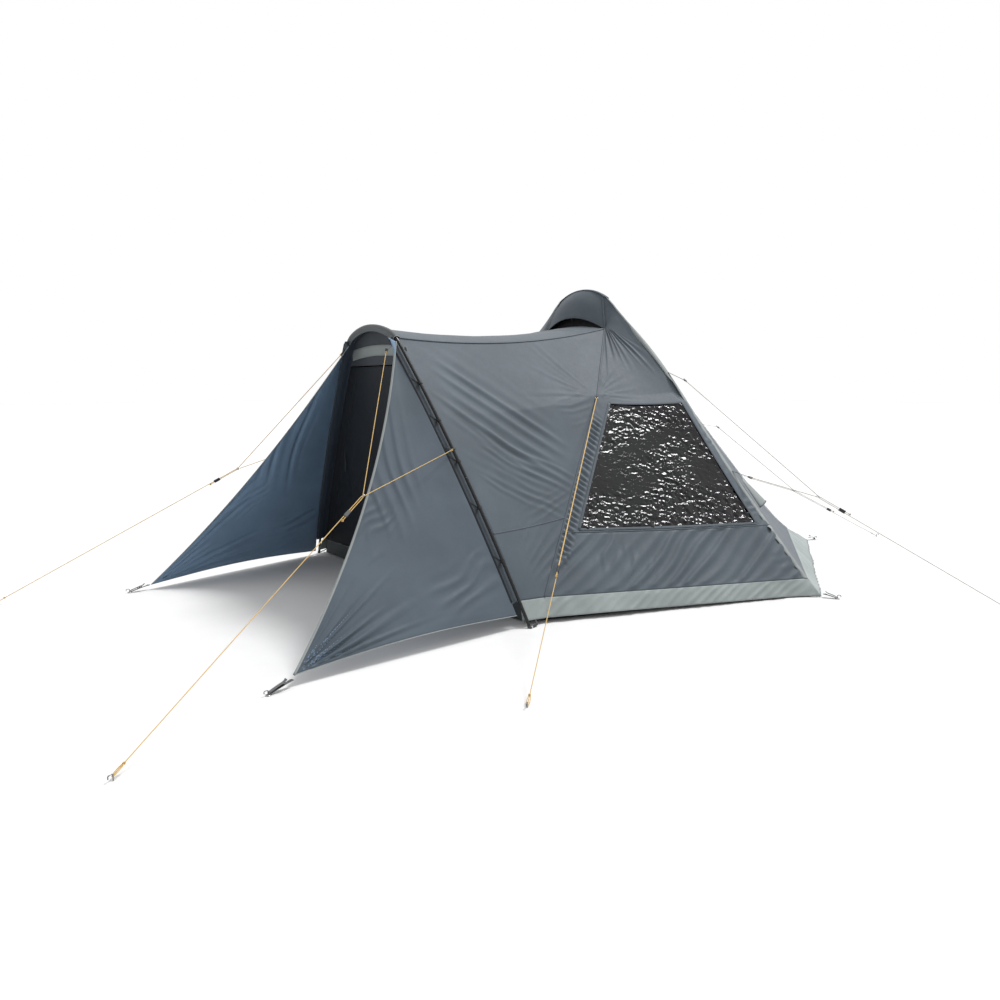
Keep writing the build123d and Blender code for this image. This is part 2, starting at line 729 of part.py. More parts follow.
def guy_runner(guy, side):
    """Line-lok runner: a flat block with a bore for each strand and a waisted grip."""
    ring, _, _, pull, _, across = guy_geometry(guy, side)
    frame = Plane(ring + pull * guy["runner"], x_dir=across, z_dir=pull)
    body = frame * Box(24, 12, RUNNER_LENGTH)
    body = fillet(body.edges().filter_by(lambda e: abs(e.tangent_at(0.5).dot(pull)) > 0.99), 3)
    for strand in (-STRAND_OFFSET, STRAND_OFFSET):
        body -= frame * Pos(strand, 0, 0) * Cylinder(RUNNER_HOLE, RUNNER_LENGTH + 2)
    return body


def metal_rings():
    """Guy rings and the eyelet rings of the corner straps."""
    rings = []
    for side in (1, -1):
        for guy in GUYS.values():
            ring, _, _, _, _, across = guy_geometry(guy, side)
            rings.append(torus(ring, across, RING_RADIUS, WIRE_RADIUS).solid())
        for _, ring in strap_ends(side).values():
            rings.append(torus(Vector(ring.X, ring.Y, 4), Vector(0, 0, 1), 12, 2.5).solid())
    return group(rings)


def ground_pegs():
    pegs = []
    for side in (1, -1):
        for guy in GUYS.values():
            _, peg, _, pull, _, _ = guy_geometry(guy, side)
            pegs.append(ground_peg(peg, pull * -1))
        for start, ring in strap_ends(side).values():
            pegs.append(ground_peg(ring, start - ring))
    return group(pegs)


# ---- low side vents ----
def low_vent_hoods():
    """Small stiffened fabric hoods low on the rear side panels, beside the arch."""
    hoods = []
    for side in (1, -1):
        top_a, top_b = vec((1655, 60, 800)), vec((1525, 260, 800))
        out = Vector(0.72, 0.34, 0.60)
        low_a, low_b = vec((1805, 62, 560)), vec((1665, 300, 560))
        quad = [low_a + out * 75, low_b + out * 75, top_b + out * 22, top_a + out * 22]
        if side < 0:
            quad = [side_of(p, -1) for p in (quad[1], quad[0], quad[3], quad[2])]
        hoods.append(flat_panel(quad, thickness=2, gap=0).solid())
    return group(hoods)


def build():
    parts = {
        "groundsheet": groundsheet(),
        "main_air_beam": main_air_beam(),
        "valve_body": valve_body(),
        "valve_cap": valve_cap(),
        "pole_top": pole_top(),
        "pole_ferrules": pole_ferrules(),
        "pole_tips": pole_tips(),
        "pole_clips": pole_clips(),
        "pole_sleeve": pole_sleeve(),
        "roof_panel": roof_panel(),
        "vent_hood": vent_hood(),
        "vent_mesh": vent_mesh(),
        "rear_skirts": rear_skirts(),
        "rear_panel": rear_panel(),
        "door_surround": door_surround(),
        "door_threshold": door_threshold(),
        "door_leaf": door_leaf(),
        "zip_slider": zip_slider(),
        "webbing_straps": webbing_straps(),
        "ladder_locks": ladder_locks(),
        "metal_rings": metal_rings(),
        "ground_pegs": ground_pegs(),
        "low_vent_hoods": low_vent_hoods(),
    }
    for word, side in (("right", 1), ("left", -1)):
        panel, window = side_panel_and_window(side)
        parts[f"side_panel_{word}"] = panel
        parts[f"window_{word}"] = window
        parts[f"side_skirt_{word}"] = side_skirt(side)
        parts[f"extension_panel_{word}"] = extension_panel(side)
        parts[f"rear_side_panel_{word}"] = rear_side_panel(side)
        parts[f"wing_{word}"] = wing(side)
        parts[f"pole_leg_{word}"] = pole_leg(side)
        for name, guy in GUYS.items():
            line, path, points = guy_line(guy, side)
            parts[f"{name}_guy_{word}"] = line
            parts[f"{name}_runner_{word}"] = guy_runner(guy, side)
            report_cord(f"{name}_guy_{word}", path, points, WRAP_RADIUS)
            if guy["tabs"]:
                line, path, points = guy_bridle(guy, side)
                parts[f"{name}_bridle_{word}"] = line
                report_cord(f"{name}_bridle_{word}", path, points, BRIDLE_WRAP_RADIUS)
    return parts


def report_cord(name, path, points, radius):
    route = [[round(c / 1000, 4) for c in point] for point in points]
    print(f"{name}: length {path.length:.0f} mm, arcs {radius:.1f} mm, route {route}")


os.makedirs("parts", exist_ok=True)
for node, shape in build().items():
    export_step(shape, f"parts/{node}.step")
    print(node, "volume", round(shape.volume / 1000, 1), "cm3")
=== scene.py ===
import math

import bmesh
import bpy
import numpy as np
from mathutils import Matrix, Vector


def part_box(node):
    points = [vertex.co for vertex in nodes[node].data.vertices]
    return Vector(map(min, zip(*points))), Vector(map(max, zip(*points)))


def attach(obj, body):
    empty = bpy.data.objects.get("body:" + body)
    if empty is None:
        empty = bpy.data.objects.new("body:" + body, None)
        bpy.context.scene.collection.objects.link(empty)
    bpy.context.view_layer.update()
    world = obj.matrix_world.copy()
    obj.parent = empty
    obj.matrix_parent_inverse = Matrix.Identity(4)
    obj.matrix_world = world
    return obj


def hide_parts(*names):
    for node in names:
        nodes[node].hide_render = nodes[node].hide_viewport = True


# Teepee tent with an entry porch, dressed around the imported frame.  Metres, +Z up, the
# door faces -Y.  Every panel is a grid of points (rows, columns, 3) whose columns and
# rows are turned so that the cloth's outer face looks out of the tent.

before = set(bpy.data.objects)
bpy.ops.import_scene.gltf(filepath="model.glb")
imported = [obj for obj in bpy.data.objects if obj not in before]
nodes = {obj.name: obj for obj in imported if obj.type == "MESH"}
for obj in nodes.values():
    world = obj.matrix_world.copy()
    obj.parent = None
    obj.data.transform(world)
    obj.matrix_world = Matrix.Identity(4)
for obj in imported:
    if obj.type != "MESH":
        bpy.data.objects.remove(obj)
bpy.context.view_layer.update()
SIDES = {"right": 1, "left": -1}


# ---- driving dimensions, the same as the frame's ----
ARCH_HALF_SPAN = 2.380
ARCH_VIRTUAL_PEAK = 2.686
CROWN_RADIUS = 0.500
ARCH_BOW = 0.050             # outward bow of the inflated legs
BEAM_INSET = 0.102
BEAM_RADIUS = 0.055
REAR_FOOT = (1.290, 1.790)
REAR_RIDGE_TOP = (0.250, 0.030, 2.360)
REAR_FLARE = (0.160, 0.070)
FLARE_HEIGHT = 0.120
HOOD_CORNER = (0.360, -0.110, 2.055)
HOOD_LIP_RISE = 0.115
HOOD_LIP_REACH = 0.050
HOOD_TOP_HALF = 0.250        # where the hood's seams meet the crown
SIDE_TAB = (0.800, -0.720, 1.480)
SEAM_FOOT = (1.420, -2.030, 0.0)
RIDGE_SAG = 0.075
ROOF_CROWN = (0.080, 0.040)  # barrel rise at the porch end and at the hood end
SKIRT_TOP = (0.160, 0.122)   # height of the skirt seam at the pole and at the arch
SKIRT_HEM = (0.040, 0.010)   # the hem hangs this far off the ground
ENTRY_Y = -2.070
POLE_HALF_SPAN = 1.400
POLE_LEAN = math.atan(0.13)
POLE_TOP = 1.986
POLE_RADIUS = 0.011
POLE_TOP_RADIUS = 0.600
POLE_TOP_ANGLE = math.radians(25)
SHOULDER_RADIUS = 0.220
SHOULDER_ANGLE = math.radians(55)
DOOR_SETBACK = 0.045
DOOR_SILL = 0.140
DOOR_TOP = 1.700
JAMB_OUTER = 0.034
JAMB_WIDTH = 0.110
ZIP_GAP = 0.006
WINDOW = ((0.880, -0.663, 1.416), (1.165, -0.096, 1.396),
          (1.904, -0.110, 0.505), (1.249, -1.433, 0.540))
WING_CORNER = (1.190, -3.600, 0.060)
WING_HEAD = (0.330, -2.330, 1.850)
WING_DIP = {"right": (0.795, -2.875, 0.900), "left": (0.822, -2.905, 0.865)}
WING_HEM = {"right": 0.090, "left": 0.045}
CORD_DIAMETER = 0.005
CLIP_HEIGHTS = (0.420, 0.760, 1.060, 1.330, 1.580)   # up the pole's leaning plane
WALL_SEAM_HEIGHT = 0.62      # the seam across the porch wall
WINDOW_SEAM_ROW = 0.97       # the seam just under the window, in side panel rows
SIDE_RING = (0.824, -0.757, 1.452)

# thicknesses
CLOTH_THICK = 0.0014
TRIM_THICK = 0.0012
WEBBING_THICK = 0.0014
TAB_THICK = 0.0013
TAB_WIDTH = 0.015
MIN_AREA_SHARE = 0.31


# ---- small vector tools ----
def arr(*values):
    return np.array(values, float)


def mix(a, b, t):
    """From a to b; t may be an array, which adds an axis for the point."""
    t = np.asarray(t, float)[..., None]
    return np.asarray(a, float) * (1 - t) + np.asarray(b, float) * t


def unit(v):
    return v / np.maximum(np.linalg.norm(v, axis=-1, keepdims=True), 1e-12)


def smooth(t):
    t = np.clip(t, 0, 1)
    return t * t * (3 - 2 * t)


def bump_window(t, edge=0.3):
    """1 in the middle of 0..1, falling smoothly to 0 at both ends."""
    return smooth(t / edge) * smooth((1 - t) / edge)


def normals(grid):
    """Unit normals of a grid, from columns x rows."""
    return unit(np.cross(np.gradient(grid, axis=1), np.gradient(grid, axis=0)))


def raised(base, height):
    """A grid with each point moved out along its normal by its height."""
    return base + height[..., None] * normals(base)


def resample(points, count):
    """The same polyline with points evenly spaced along it."""
    points = np.asarray(points, float)
    reach = np.concatenate([[0], np.cumsum(np.linalg.norm(np.diff(points, axis=0), axis=1))])
    marks = np.linspace(0, reach[-1], count)
    return np.stack([np.interp(marks, reach, points[:, k]) for k in range(3)], axis=1)


def mirror(grid, side):
    """A right-hand grid on the asked side, still facing out."""
    if side > 0:
        return grid
    return grid[:, ::-1] * arr(-1, 1, 1)


def noise(p, q, size, seed):
    """Smooth value noise from -1 to 1 over the plane p, q, with features of that size."""
    lattice = np.random.default_rng(seed).uniform(-1, 1, (61, 67))
    x, y = p / size + 100, q / size + 100
    i, j = np.floor(x).astype(int), np.floor(y).astype(int)
    fx, fy = smooth(x - i), smooth(y - j)

    def at(di, dj):
        return lattice[(i + di) % 61, (j + dj) % 67]

    low = at(0, 0) * (1 - fx) + at(1, 0) * fx
    high = at(0, 1) * (1 - fx) + at(1, 1) * fx
    return low * (1 - fy) + high * fy


def line_noise(p, size, seed):
    """The same noise along one line."""
    return noise(p, 0.0, size, seed)


# ---- wrinkles: heights over a panel's own flat coordinates p (along) and q (up) ----
def folds(p, q, start, angle, length, width, pitch, height, seed, wander=0.5):
    """Parallel tension folds that run at an angle in degrees and fade at every end."""
    a = math.radians(angle)
    along = (p - start[0]) * math.cos(a) + (q - start[1]) * math.sin(a)
    across = -(p - start[0]) * math.sin(a) + (q - start[1]) * math.cos(a)
    drift = noise(along, across, length * 0.4, seed) * pitch * wander
    phase = (across + drift) / pitch
    shape = (0.5 + 0.5 * np.cos(2 * math.pi * phase)) ** 1.6 - 0.32
    each = 0.55 + 0.45 * line_noise(phase, 1.0, seed + 1)
    ends = bump_window(along / length + 0.12 * noise(phase, along, 1.0, seed + 2))
    return height * shape * each * ends * bump_window(across / width, 0.25)


def band_folds(p, q, box, angle, pitch, height, seed, wander=0.5):
    """Parallel folds at an angle that fill a box: p from, p to, q from, q to."""
    a = math.radians(angle)
    along = p * math.cos(a) + q * math.sin(a)
    across = -p * math.sin(a) + q * math.cos(a)
    phase = (across + noise(along, across, 0.35, seed) * pitch * wander) / pitch
    shape = (0.5 + 0.5 * np.cos(2 * math.pi * phase)) ** 1.6 - 0.32
    each = 0.6 + 0.4 * line_noise(phase, 1.0, seed + 1)
    ends = 0.14 * line_noise(phase, 0.8, seed + 2)
    inside = (bump_window((p - box[0]) / (box[1] - box[0]), 0.12)
              * bump_window((q - box[2]) / (box[3] - box[2]) + ends, 0.30))
    return height * shape * each * inside


def fan(p, q, apex, start, sweep, reach, count, height, seed, inner=0.12):
    """Folds that radiate from a point between two angles in degrees."""
    dp, dq = p - apex[0], q - apex[1]
    r = np.hypot(dp, dq)
    t = (np.degrees(np.arctan2(dq, dp)) - start) / sweep
    drift = 0.35 / count * noise(t * count, r / reach, 0.8, seed)
    each = 0.6 + 0.4 * line_noise(t * count, 1.0, seed + 1)
    shape = (0.5 + 0.5 * np.cos(2 * math.pi * count * (t + drift))) ** 1.5 - 0.34
    length = reach * (0.8 + 0.35 * line_noise(t * count, 0.7, seed + 2))
    fade = smooth(r / (inner * reach)) * smooth((length - r) / (0.75 * length))
    return height * shape * each * fade * bump_window(t, 0.15)


def slack(p, q, height, seed):
    """The gentle unevenness of any stretched cloth."""
    return height * (noise(p, q, 0.55, seed) + 0.45 * noise(p, q, 0.23, seed + 1)
                     + 0.16 * noise(p, q, 0.09, seed + 2))


# ---- meshes ----
def new_object(name, vertices, faces, materials=(), face_material=None, flat_faces=None):
    mesh = bpy.data.meshes.new(name)
    mesh.from_pydata([tuple(v) for v in np.asarray(vertices).tolist()], [], faces)
    for material in materials:
        mesh.materials.append(material)
    shade = np.ones(len(faces), bool)
    if flat_faces is not None:
        shade[flat_faces] = False
    mesh.polygons.foreach_set("use_smooth", shade)
    if face_material is not None:
        mesh.polygons.foreach_set("material_index", np.asarray(face_material, np.int32))
    mesh.update()
    piece = bpy.data.objects.new(name, mesh)
    bpy.context.scene.collection.objects.link(piece)
    return piece


def grid_mesh(name, grid, thickness, outer, inner=None, keep=None, lift=0.0):
    """A closed sheet of cloth: outer face on the grid, inner face one thickness inside."""
    rows, columns = grid.shape[:2]
    normal = normals(grid)
    top = grid + normal * lift
    vertices = np.concatenate([top.reshape(-1, 3), (top - normal * thickness).reshape(-1, 3)])
    index = np.arange(rows * columns).reshape(rows, columns)
    quads = np.stack([index[:-1, :-1], index[:-1, 1:], index[1:, 1:], index[1:, :-1]], axis=-1)
    quads = quads.reshape(-1, 4)
    if keep is not None:
        quads = quads[keep.reshape(-1)]
    back = rows * columns
    edges = np.concatenate([quads[:, [k, (k + 1) % 4]] for k in range(4)])
    keys = {(a, b) for a, b in edges.tolist()}
    rim = [(b, a, a + back, b + back) for a, b in keys if (b, a) not in keys]
    rim.sort()
    faces = quads.tolist() + (quads[:, ::-1] + back).tolist() + [list(f) for f in rim]
    which = [0] * len(quads) + [1 if inner else 0] * len(quads) + [0] * len(rim)
    materials = [outer, inner] if inner else [outer]
    flat = np.arange(2 * len(quads), len(faces))
    piece = new_object(name, vertices, faces, materials, which, flat)
    if keep is not None:
        used = np.zeros(len(vertices), bool)
        used[np.unique(quads)] = True
        used[back:] = used[:back]
        remove_vertices(piece, np.nonzero(~used)[0])
    lay_cloth_map(piece, grid)
    return piece


def remove_vertices(piece, drop):
    work = bmesh.new()
    work.from_mesh(piece.data)
    work.verts.ensure_lookup_table()
    bmesh.ops.delete(work, geom=[work.verts[i] for i in drop], context="VERTS")
    work.to_mesh(piece.data)
    work.free()


def lay_cloth_map(piece, grid):
    """A UV map in metres of cloth, by projection on the panel's main plane."""
    flat = grid.reshape(-1, 3)
    centre = flat.mean(0)
    normal = unit(normals(grid).reshape(-1, 3).sum(0))
    u_axis = unit(np.cross(arr(0, 0, 1), normal)) if abs(normal[2]) < 0.9 else arr(1, 0, 0)
    v_axis = np.cross(normal, u_axis)
    mesh = piece.data
    places = np.empty(len(mesh.vertices) * 3)
    mesh.vertices.foreach_get("co", places)
    places = places.reshape(-1, 3) - centre
    loops = np.empty(len(mesh.loops), np.int32)
    mesh.loops.foreach_get("vertex_index", loops)
    uv = np.stack([places @ u_axis, places @ v_axis], axis=1)[loops]
    mesh.uv_layers.new(name="cloth").data.foreach_set("uv", uv.astype(np.float32).ravel())


def tube_mesh(name, path, radius, material, sides=12, squash_to=None, caps=True):
    """A round or flattened tube along points; squash_to is (across, through) radii."""
    path = np.asarray(path, float)
    ahead = unit(np.gradient(path, axis=0))
    first = np.cross(ahead[0], arr(0, 0, 1) if abs(ahead[0][2]) < 0.9 else arr(0, 1, 0))
    across = [unit(first)]
    for step in ahead[1:]:
        across.append(unit(across[-1] - step * np.dot(across[-1], step)))
    across = np.array(across)
    through = np.cross(ahead, across)
    radii = np.broadcast_to(np.asarray(radius, float), len(path))[:, None, None]
    wide, deep = squash_to if squash_to else (1, 1)
    turn = np.linspace(0, 2 * math.pi, sides, endpoint=False)
    ring = (across[:, None] * np.cos(turn)[:, None] * wide
            + through[:, None] * np.sin(turn)[:, None] * deep)
    vertices = (path[:, None] + ring * radii).reshape(-1, 3)
    faces = []
    for i in range(len(path) - 1):
        for k in range(sides):
            a, b = i * sides + k, i * sides + (k + 1) % sides
            faces.append((a, b, b + sides, a + sides))
    if caps:
        faces.append(tuple(reversed(range(sides))))
        faces.append(tuple(range((len(path) - 1) * sides, len(path) * sides)))
    return new_object(name, vertices, faces, [material])


def ribbon(name, path, facing, width, thickness, material, edge_lift=0.0, lift=0.0):
    """A flat tape along points; facing is one outward vector, or one for each point."""
    path = np.asarray(path, float)
    facing = unit(np.broadcast_to(np.asarray(facing, float), path.shape))
    ahead = unit(np.gradient(path, axis=0))
    across = unit(np.cross(ahead, facing))
    shares = np.linspace(-0.5, 0.5, 5)
    crown = (1 - (2 * shares) ** 2) * edge_lift
    rows = [path + across * width * s + facing * (lift + c) for s, c in zip(shares, crown)]
    grid = np.stack(rows, axis=1)[:, ::-1]
    return grid_mesh(name, grid, thickness, material)


def put(piece, slot, *replaced, body="tent"):
    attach(piece, body)
    if replaced:
        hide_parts(*replaced)
    return piece


def areas(grid):
    across, up = np.diff(grid, axis=1)[:-1], np.diff(grid, axis=0)[:, :-1]
    return np.linalg.norm(np.cross(across, up), axis=-1)


def declare(base, keep=None):
    """Works out the flat area of a sheet's unwrinkled panel, but keeps and declares nothing.

    An area under MIN_AREA_SHARE, as the side panel's less its window, is raised to it.
    """
    width = np.linalg.norm(np.diff(base, axis=1), axis=-1).sum(1).max()
    length = np.linalg.norm(np.diff(base, axis=0), axis=-1).sum(0).max()
    tiles = areas(base)
    area = float(tiles[keep].sum() if keep is not None else tiles.sum())
    area = min(max(area, MIN_AREA_SHARE * width * length), width * length)


def sew(name, grid, base, slot, cloths, node=None, side=1, thickness=CLOTH_THICK,
        body="tent"):
    """A panel of cloth on its side of the tent, in place of the frame's node when one is given."""
    piece = grid_mesh(name, mirror(grid, side), thickness, *cloths)
    put(piece, slot, *([node] if node else []), body=body)
    declare(base)
    return piece


def tube(name, path, radius, cloth, slot, sides=8, squash_to=None, body="tent"):
    """A hem, binding or cord of its own."""
    return put(tube_mesh(name, path, radius, cloth, sides, squash_to), slot, body=body)


def tape(name, path, facing, width, thickness, cloth, slot, edge_lift=0.0, lift=0.0,
         body="tent"):
    """A ribbon of its own."""
    return put(ribbon(name, path, facing, width, thickness, cloth, edge_lift, lift), slot,
               body=body)


# ---- materials ----
def material(name):
    made = bpy.data.materials.new(name)
    made.use_nodes = True
    tree = made.node_tree
    return made, tree, tree.nodes["Principled BSDF"]


def add(tree, kind, **values):
    node = tree.nodes.new(kind)
    for key, value in values.items():
        if hasattr(node, key):
            setattr(node, key, value)
        else:
            node.inputs[key].default_value = value
    return node


def link(tree, out, into):
    tree.links.new(out, into)


def scaled(tree, coordinates, scale, rotation=(0, 0, 0)):
    turn = add(tree, "ShaderNodeMapping")
    turn.inputs["Scale"].default_value = scale
    turn.inputs["Rotation"].default_value = rotation
    link(tree, coordinates, turn.inputs["Vector"])
    return turn.outputs["Vector"]


def cloud(tree, vector, scale, detail=3.0, rough=0.5):
    field = add(tree, "ShaderNodeTexNoise")
    field.inputs["Scale"].default_value = scale
    field.inputs["Detail"].default_value = detail
    field.inputs["Roughness"].default_value = rough
    link(tree, vector, field.inputs["Vector"])
    return field.outputs["Fac"]


def ramp(tree, factor, low, high, low_at=0.3, high_at=0.7):
    colours = add(tree, "ShaderNodeValToRGB")
    colours.color_ramp.elements[0].color = (*low, 1)
    colours.color_ramp.elements[1].color = (*high, 1)
    colours.color_ramp.elements[0].position = low_at
    colours.color_ramp.elements[1].position = high_at
    link(tree, factor, colours.inputs["Fac"])
    return colours.outputs["Color"]


def math_node(tree, kind, a, b):
    node = add(tree, "ShaderNodeMath", operation=kind)
    for socket, value in zip(node.inputs, (a, b)):
        if isinstance(value, (int, float)):
            socket.default_value = value
        else:
            link(tree, value, socket)
    return node.outputs[0]


def threads(tree, vector, per_metre):
    """Plain weave height: one set of threads over the other, from the cloth map."""
    waves = []
    for direction in ("X", "Y"):
        wave = add(tree, "ShaderNodeTexWave", wave_type="BANDS", bands_direction=direction)
        wave.inputs["Scale"].default_value = per_metre / 20
        link(tree, vector, wave.inputs["Vector"])
        waves.append(wave.outputs["Fac"])
    return math_node(tree, "MULTIPLY", waves[0], waves[1])


def bump(tree, shader, height, distance, strength=1.0, before=None):
    node = add(tree, "ShaderNodeBump")
    node.inputs["Strength"].default_value = strength
    node.inputs["Distance"].default_value = distance
    link(tree, height, node.inputs["Height"])
    if before is not None:
        link(tree, before, node.inputs["Normal"])
    if shader is not None:
        link(tree, node.outputs["Normal"], shader.inputs["Normal"])
    return node.outputs["Normal"]


def uneven_shine(tree, shader, factor, low, high):
    """Roughness that wanders between two values."""
    shine = add(tree, "ShaderNodeMapRange")
    shine.inputs["To Min"].default_value = low
    shine.inputs["To Max"].default_value = high
    link(tree, factor, shine.inputs["Value"])
    link(tree, shine.outputs["Result"], shader.inputs["Roughness"])


def dye_with_painted_thread_shade(tree, shader, base, thread_gap_shade):
    """The dye, with painted shade that darkens it between the threads."""
    blend = add(tree, "ShaderNodeMix", data_type="RGBA", blend_type="MULTIPLY")
    blend.inputs[0].default_value = 1.0
    link(tree, base, blend.inputs[6])
    link(tree, thread_gap_shade, blend.inputs[7])
    link(tree, blend.outputs[2], shader.inputs["Base Color"])


def cloth_map(tree):
    return add(tree, "ShaderNodeUVMap", uv_map="cloth").outputs["UV"]


def object_map(tree):
    return add(tree, "ShaderNodeTexCoord").outputs["Object"]


def spread(colour, share):
    return tuple(min(1.0, c * share) for c in colour)


def cloth_material(name, colour, roughness=0.62, per_metre=900, sheen=0.12, vary=0.09,
                   specular=0.3, crease=0.0012):
    """Coated woven cloth: threads with painted shade between them, faint handling creases and an
    uneven dye.
    """
    made, tree, shader = material(name)
    cloth = cloth_map(tree)
    place = object_map(tree)
    patches = cloud(tree, place, 2.3, 5.0, 0.6)
    base = ramp(tree, patches, spread(colour, 1 - vary), spread(colour, 1 + vary), 0.35, 0.65)
    weave = threads(tree, cloth, per_metre)
    # painted shade: the cloth is darkened in the dips between the threads
    thread_gap_shade = ramp(tree, weave, (0.86, 0.86, 0.86), (1.0, 1.0, 1.0), 0.0, 0.6)
    dye_with_painted_thread_shade(tree, shader, base, thread_gap_shade)
    fine = cloud(tree, place, 38.0, 4.0, 0.55)
    uneven_shine(tree, shader, fine, roughness - 0.07, roughness + 0.07)
    creases = cloud(tree, scaled(tree, place, (1.0, 1.0, 0.6)), 16.0, 3.0, 0.5)
    first = bump(tree, None, creases, crease, 0.6)
    bump(tree, shader, weave, 0.00025, 0.35, first)
    shader.inputs["Sheen Weight"].default_value = sheen
    shader.inputs["Sheen Roughness"].default_value = 0.4
    shader.inputs["Specular IOR Level"].default_value = specular
    return made


def film_material():
    """Tinted clear window film with tight packing creases."""
    made, tree, shader = material("window_film_pvc")
    place = cloth_map(tree)
    wide = cloud(tree, scaled(tree, place, (24.0, 36.0, 1.0), (0, 0, 0.3)), 1.0, 2.0, 0.55)
    fine = cloud(tree, scaled(tree, place, (80.0, 110.0, 1.0), (0, 0, -0.4)), 1.0, 3.0, 0.6)
    height = math_node(tree, "ADD", wide, math_node(tree, "MULTIPLY", fine, 0.35))
    bump(tree, shader, height, 0.0035, 1.0)
    tint = cloud(tree, place, 5.0, 3.0, 0.5)
    link(tree, ramp(tree, tint, (0.002, 0.002, 0.003), (0.006, 0.006, 0.007)),
         shader.inputs["Base Color"])
    shader.inputs["Roughness"].default_value = 0.04
    shader.inputs["Specular IOR Level"].default_value = 0.45
    return made


def mesh_material():
    """Fine insect mesh, near black, with painted shade in the holes between its threads."""
    made, tree, shader = material("insect_mesh_cloth")
    cloth = cloth_map(tree)
    weave = threads(tree, cloth, 700)
    # the holes between the threads are painted darker: painted shade of the dark space behind the
    # mesh
    link(tree, ramp(tree, weave, (0.006, 0.006, 0.008), (0.03, 0.03, 0.034), 0.1, 0.7),
         shader.inputs["Base Color"])
    bump(tree, shader, weave, 0.0006, 0.8)
    shader.inputs["Roughness"].default_value = 0.8
    return made


def webbing_material(name, colour, ribs=420):
    """Narrow woven tape with ribs across it, darkened between the ribs as painted shade."""
    made, tree, shader = material(name)
    place = object_map(tree)
    cloth = cloth_map(tree)
    weave = threads(tree, cloth, ribs)
    patches = cloud(tree, place, 30.0, 4.0, 0.6)
    base = ramp(tree, patches, spread(colour, 0.85), spread(colour, 1.15), 0.3, 0.7)
    # painted shade: the tape is darkened in the dips between its ribs
    thread_gap_shade = ramp(tree, weave, (0.7, 0.7, 0.7), (1.0, 1.0, 1.0), 0.0, 0.5)
    dye_with_painted_thread_shade(tree, shader, base, thread_gap_shade)
    bump(tree, shader, weave, 0.0005, 0.6)
    shader.inputs["Roughness"].default_value = 0.75
    shader.inputs["Sheen Weight"].default_value = 0.1
    return made


def metal_material(name, colour, roughness, metallic=1.0, flecks=60.0, wear=0.15):
    """Steel, plated or powder coated, with fine scratches and dulled patches."""
    made, tree, shader = material(name)
    place = object_map(tree)
    patches = cloud(tree, place, flecks, 6.0, 0.65)
    link(tree, ramp(tree, patches, spread(colour, 1 - wear), spread(colour, 1 + wear)),
         shader.inputs["Base Color"])
    uneven_shine(tree, shader, patches, roughness * 0.75, roughness * 1.25)
    grain = cloud(tree, place, 900.0, 2.0, 0.5)
    bump(tree, shader, grain, 0.0001, 0.25)
    shader.inputs["Metallic"].default_value = metallic
    return made


def plastic_material(name, colour, roughness=0.45):
    """Moulded plastic with a fine spark-eroded grain."""
    made, tree, shader = material(name)
    place = object_map(tree)
    grain = cloud(tree, place, 700.0, 3.0, 0.6)
    patches = cloud(tree, place, 25.0, 4.0, 0.6)
    link(tree, ramp(tree, patches, spread(colour, 0.88), spread(colour, 1.12)),
         shader.inputs["Base Color"])
    bump(tree, shader, grain, 0.00015, 0.3)
    uneven_shine(tree, shader, patches, roughness - 0.08, roughness + 0.08)
    return made


def cord_material(name, colour, fleck):
    """Braided cord: diagonal strands, darkened in the grooves between them as painted shade and
    lighter towards the fleck colour on their crests.
    """
    made, tree, shader = material(name)
    place = object_map(tree)
    strands = add(tree, "ShaderNodeTexWave", wave_type="BANDS", bands_direction="DIAGONAL")
    strands.inputs["Scale"].default_value = 130.0
    strands.inputs["Distortion"].default_value = 1.5
    link(tree, place, strands.inputs["Vector"])
    # painted shade in the grooves between the strands; the crests run to the fleck colour
    link(tree, ramp(tree, strands.outputs["Fac"], spread(colour, 0.72), fleck, 0.15, 0.95),
         shader.inputs["Base Color"])
    bump(tree, shader, strands.outputs["Fac"], 0.0006, 0.7)
    shader.inputs["Roughness"].default_value = 0.6
    shader.inputs["Sheen Weight"].default_value = 0.15
    return made


FLY = (0.088, 0.110, 0.131)
fly = cloth_material("fly_outer_cloth", FLY)
# inner face of the fly: its dark blue coating, lifted brighter as painted glow for light that shines
# through the cloth
fly_inside_painted_glow = cloth_material("fly_inner_cloth_painted_glow", (0.045, 0.062, 0.085), roughness=0.5, sheen=0.05)
wing_out = cloth_material("wing_outer_cloth", (0.082, 0.106, 0.131))
# inner face of the wings: painted glow, brighter and bluer than the outer face, standing in for light
# shining through the cloth from behind
wing_inner_painted_glow = cloth_material("wing_inner_cloth_painted_glow", (0.190, 0.290, 0.420), roughness=0.5, sheen=0.05)
skirt_cloth = cloth_material("skirt_cloth", (0.320, 0.362, 0.356), roughness=0.55)
trim_cloth = cloth_material("trim_cloth", (0.235, 0.262, 0.260), roughness=0.6)
tape_cloth = cloth_material("edge_tape_cloth", (0.300, 0.325, 0.325), per_metre=700)
seam_cloth = cloth_material("seam_cloth", spread(FLY, 0.92))
sleeve_cloth = cloth_material("sleeve_cloth", (0.095, 0.104, 0.110), roughness=0.6)
# the threshold's grey-green cloth, darkened as painted shade of the doorway's recess
sill_cloth_painted_shade = cloth_material("sill_cloth_painted_shade", (0.050, 0.062, 0.066), roughness=0.6)
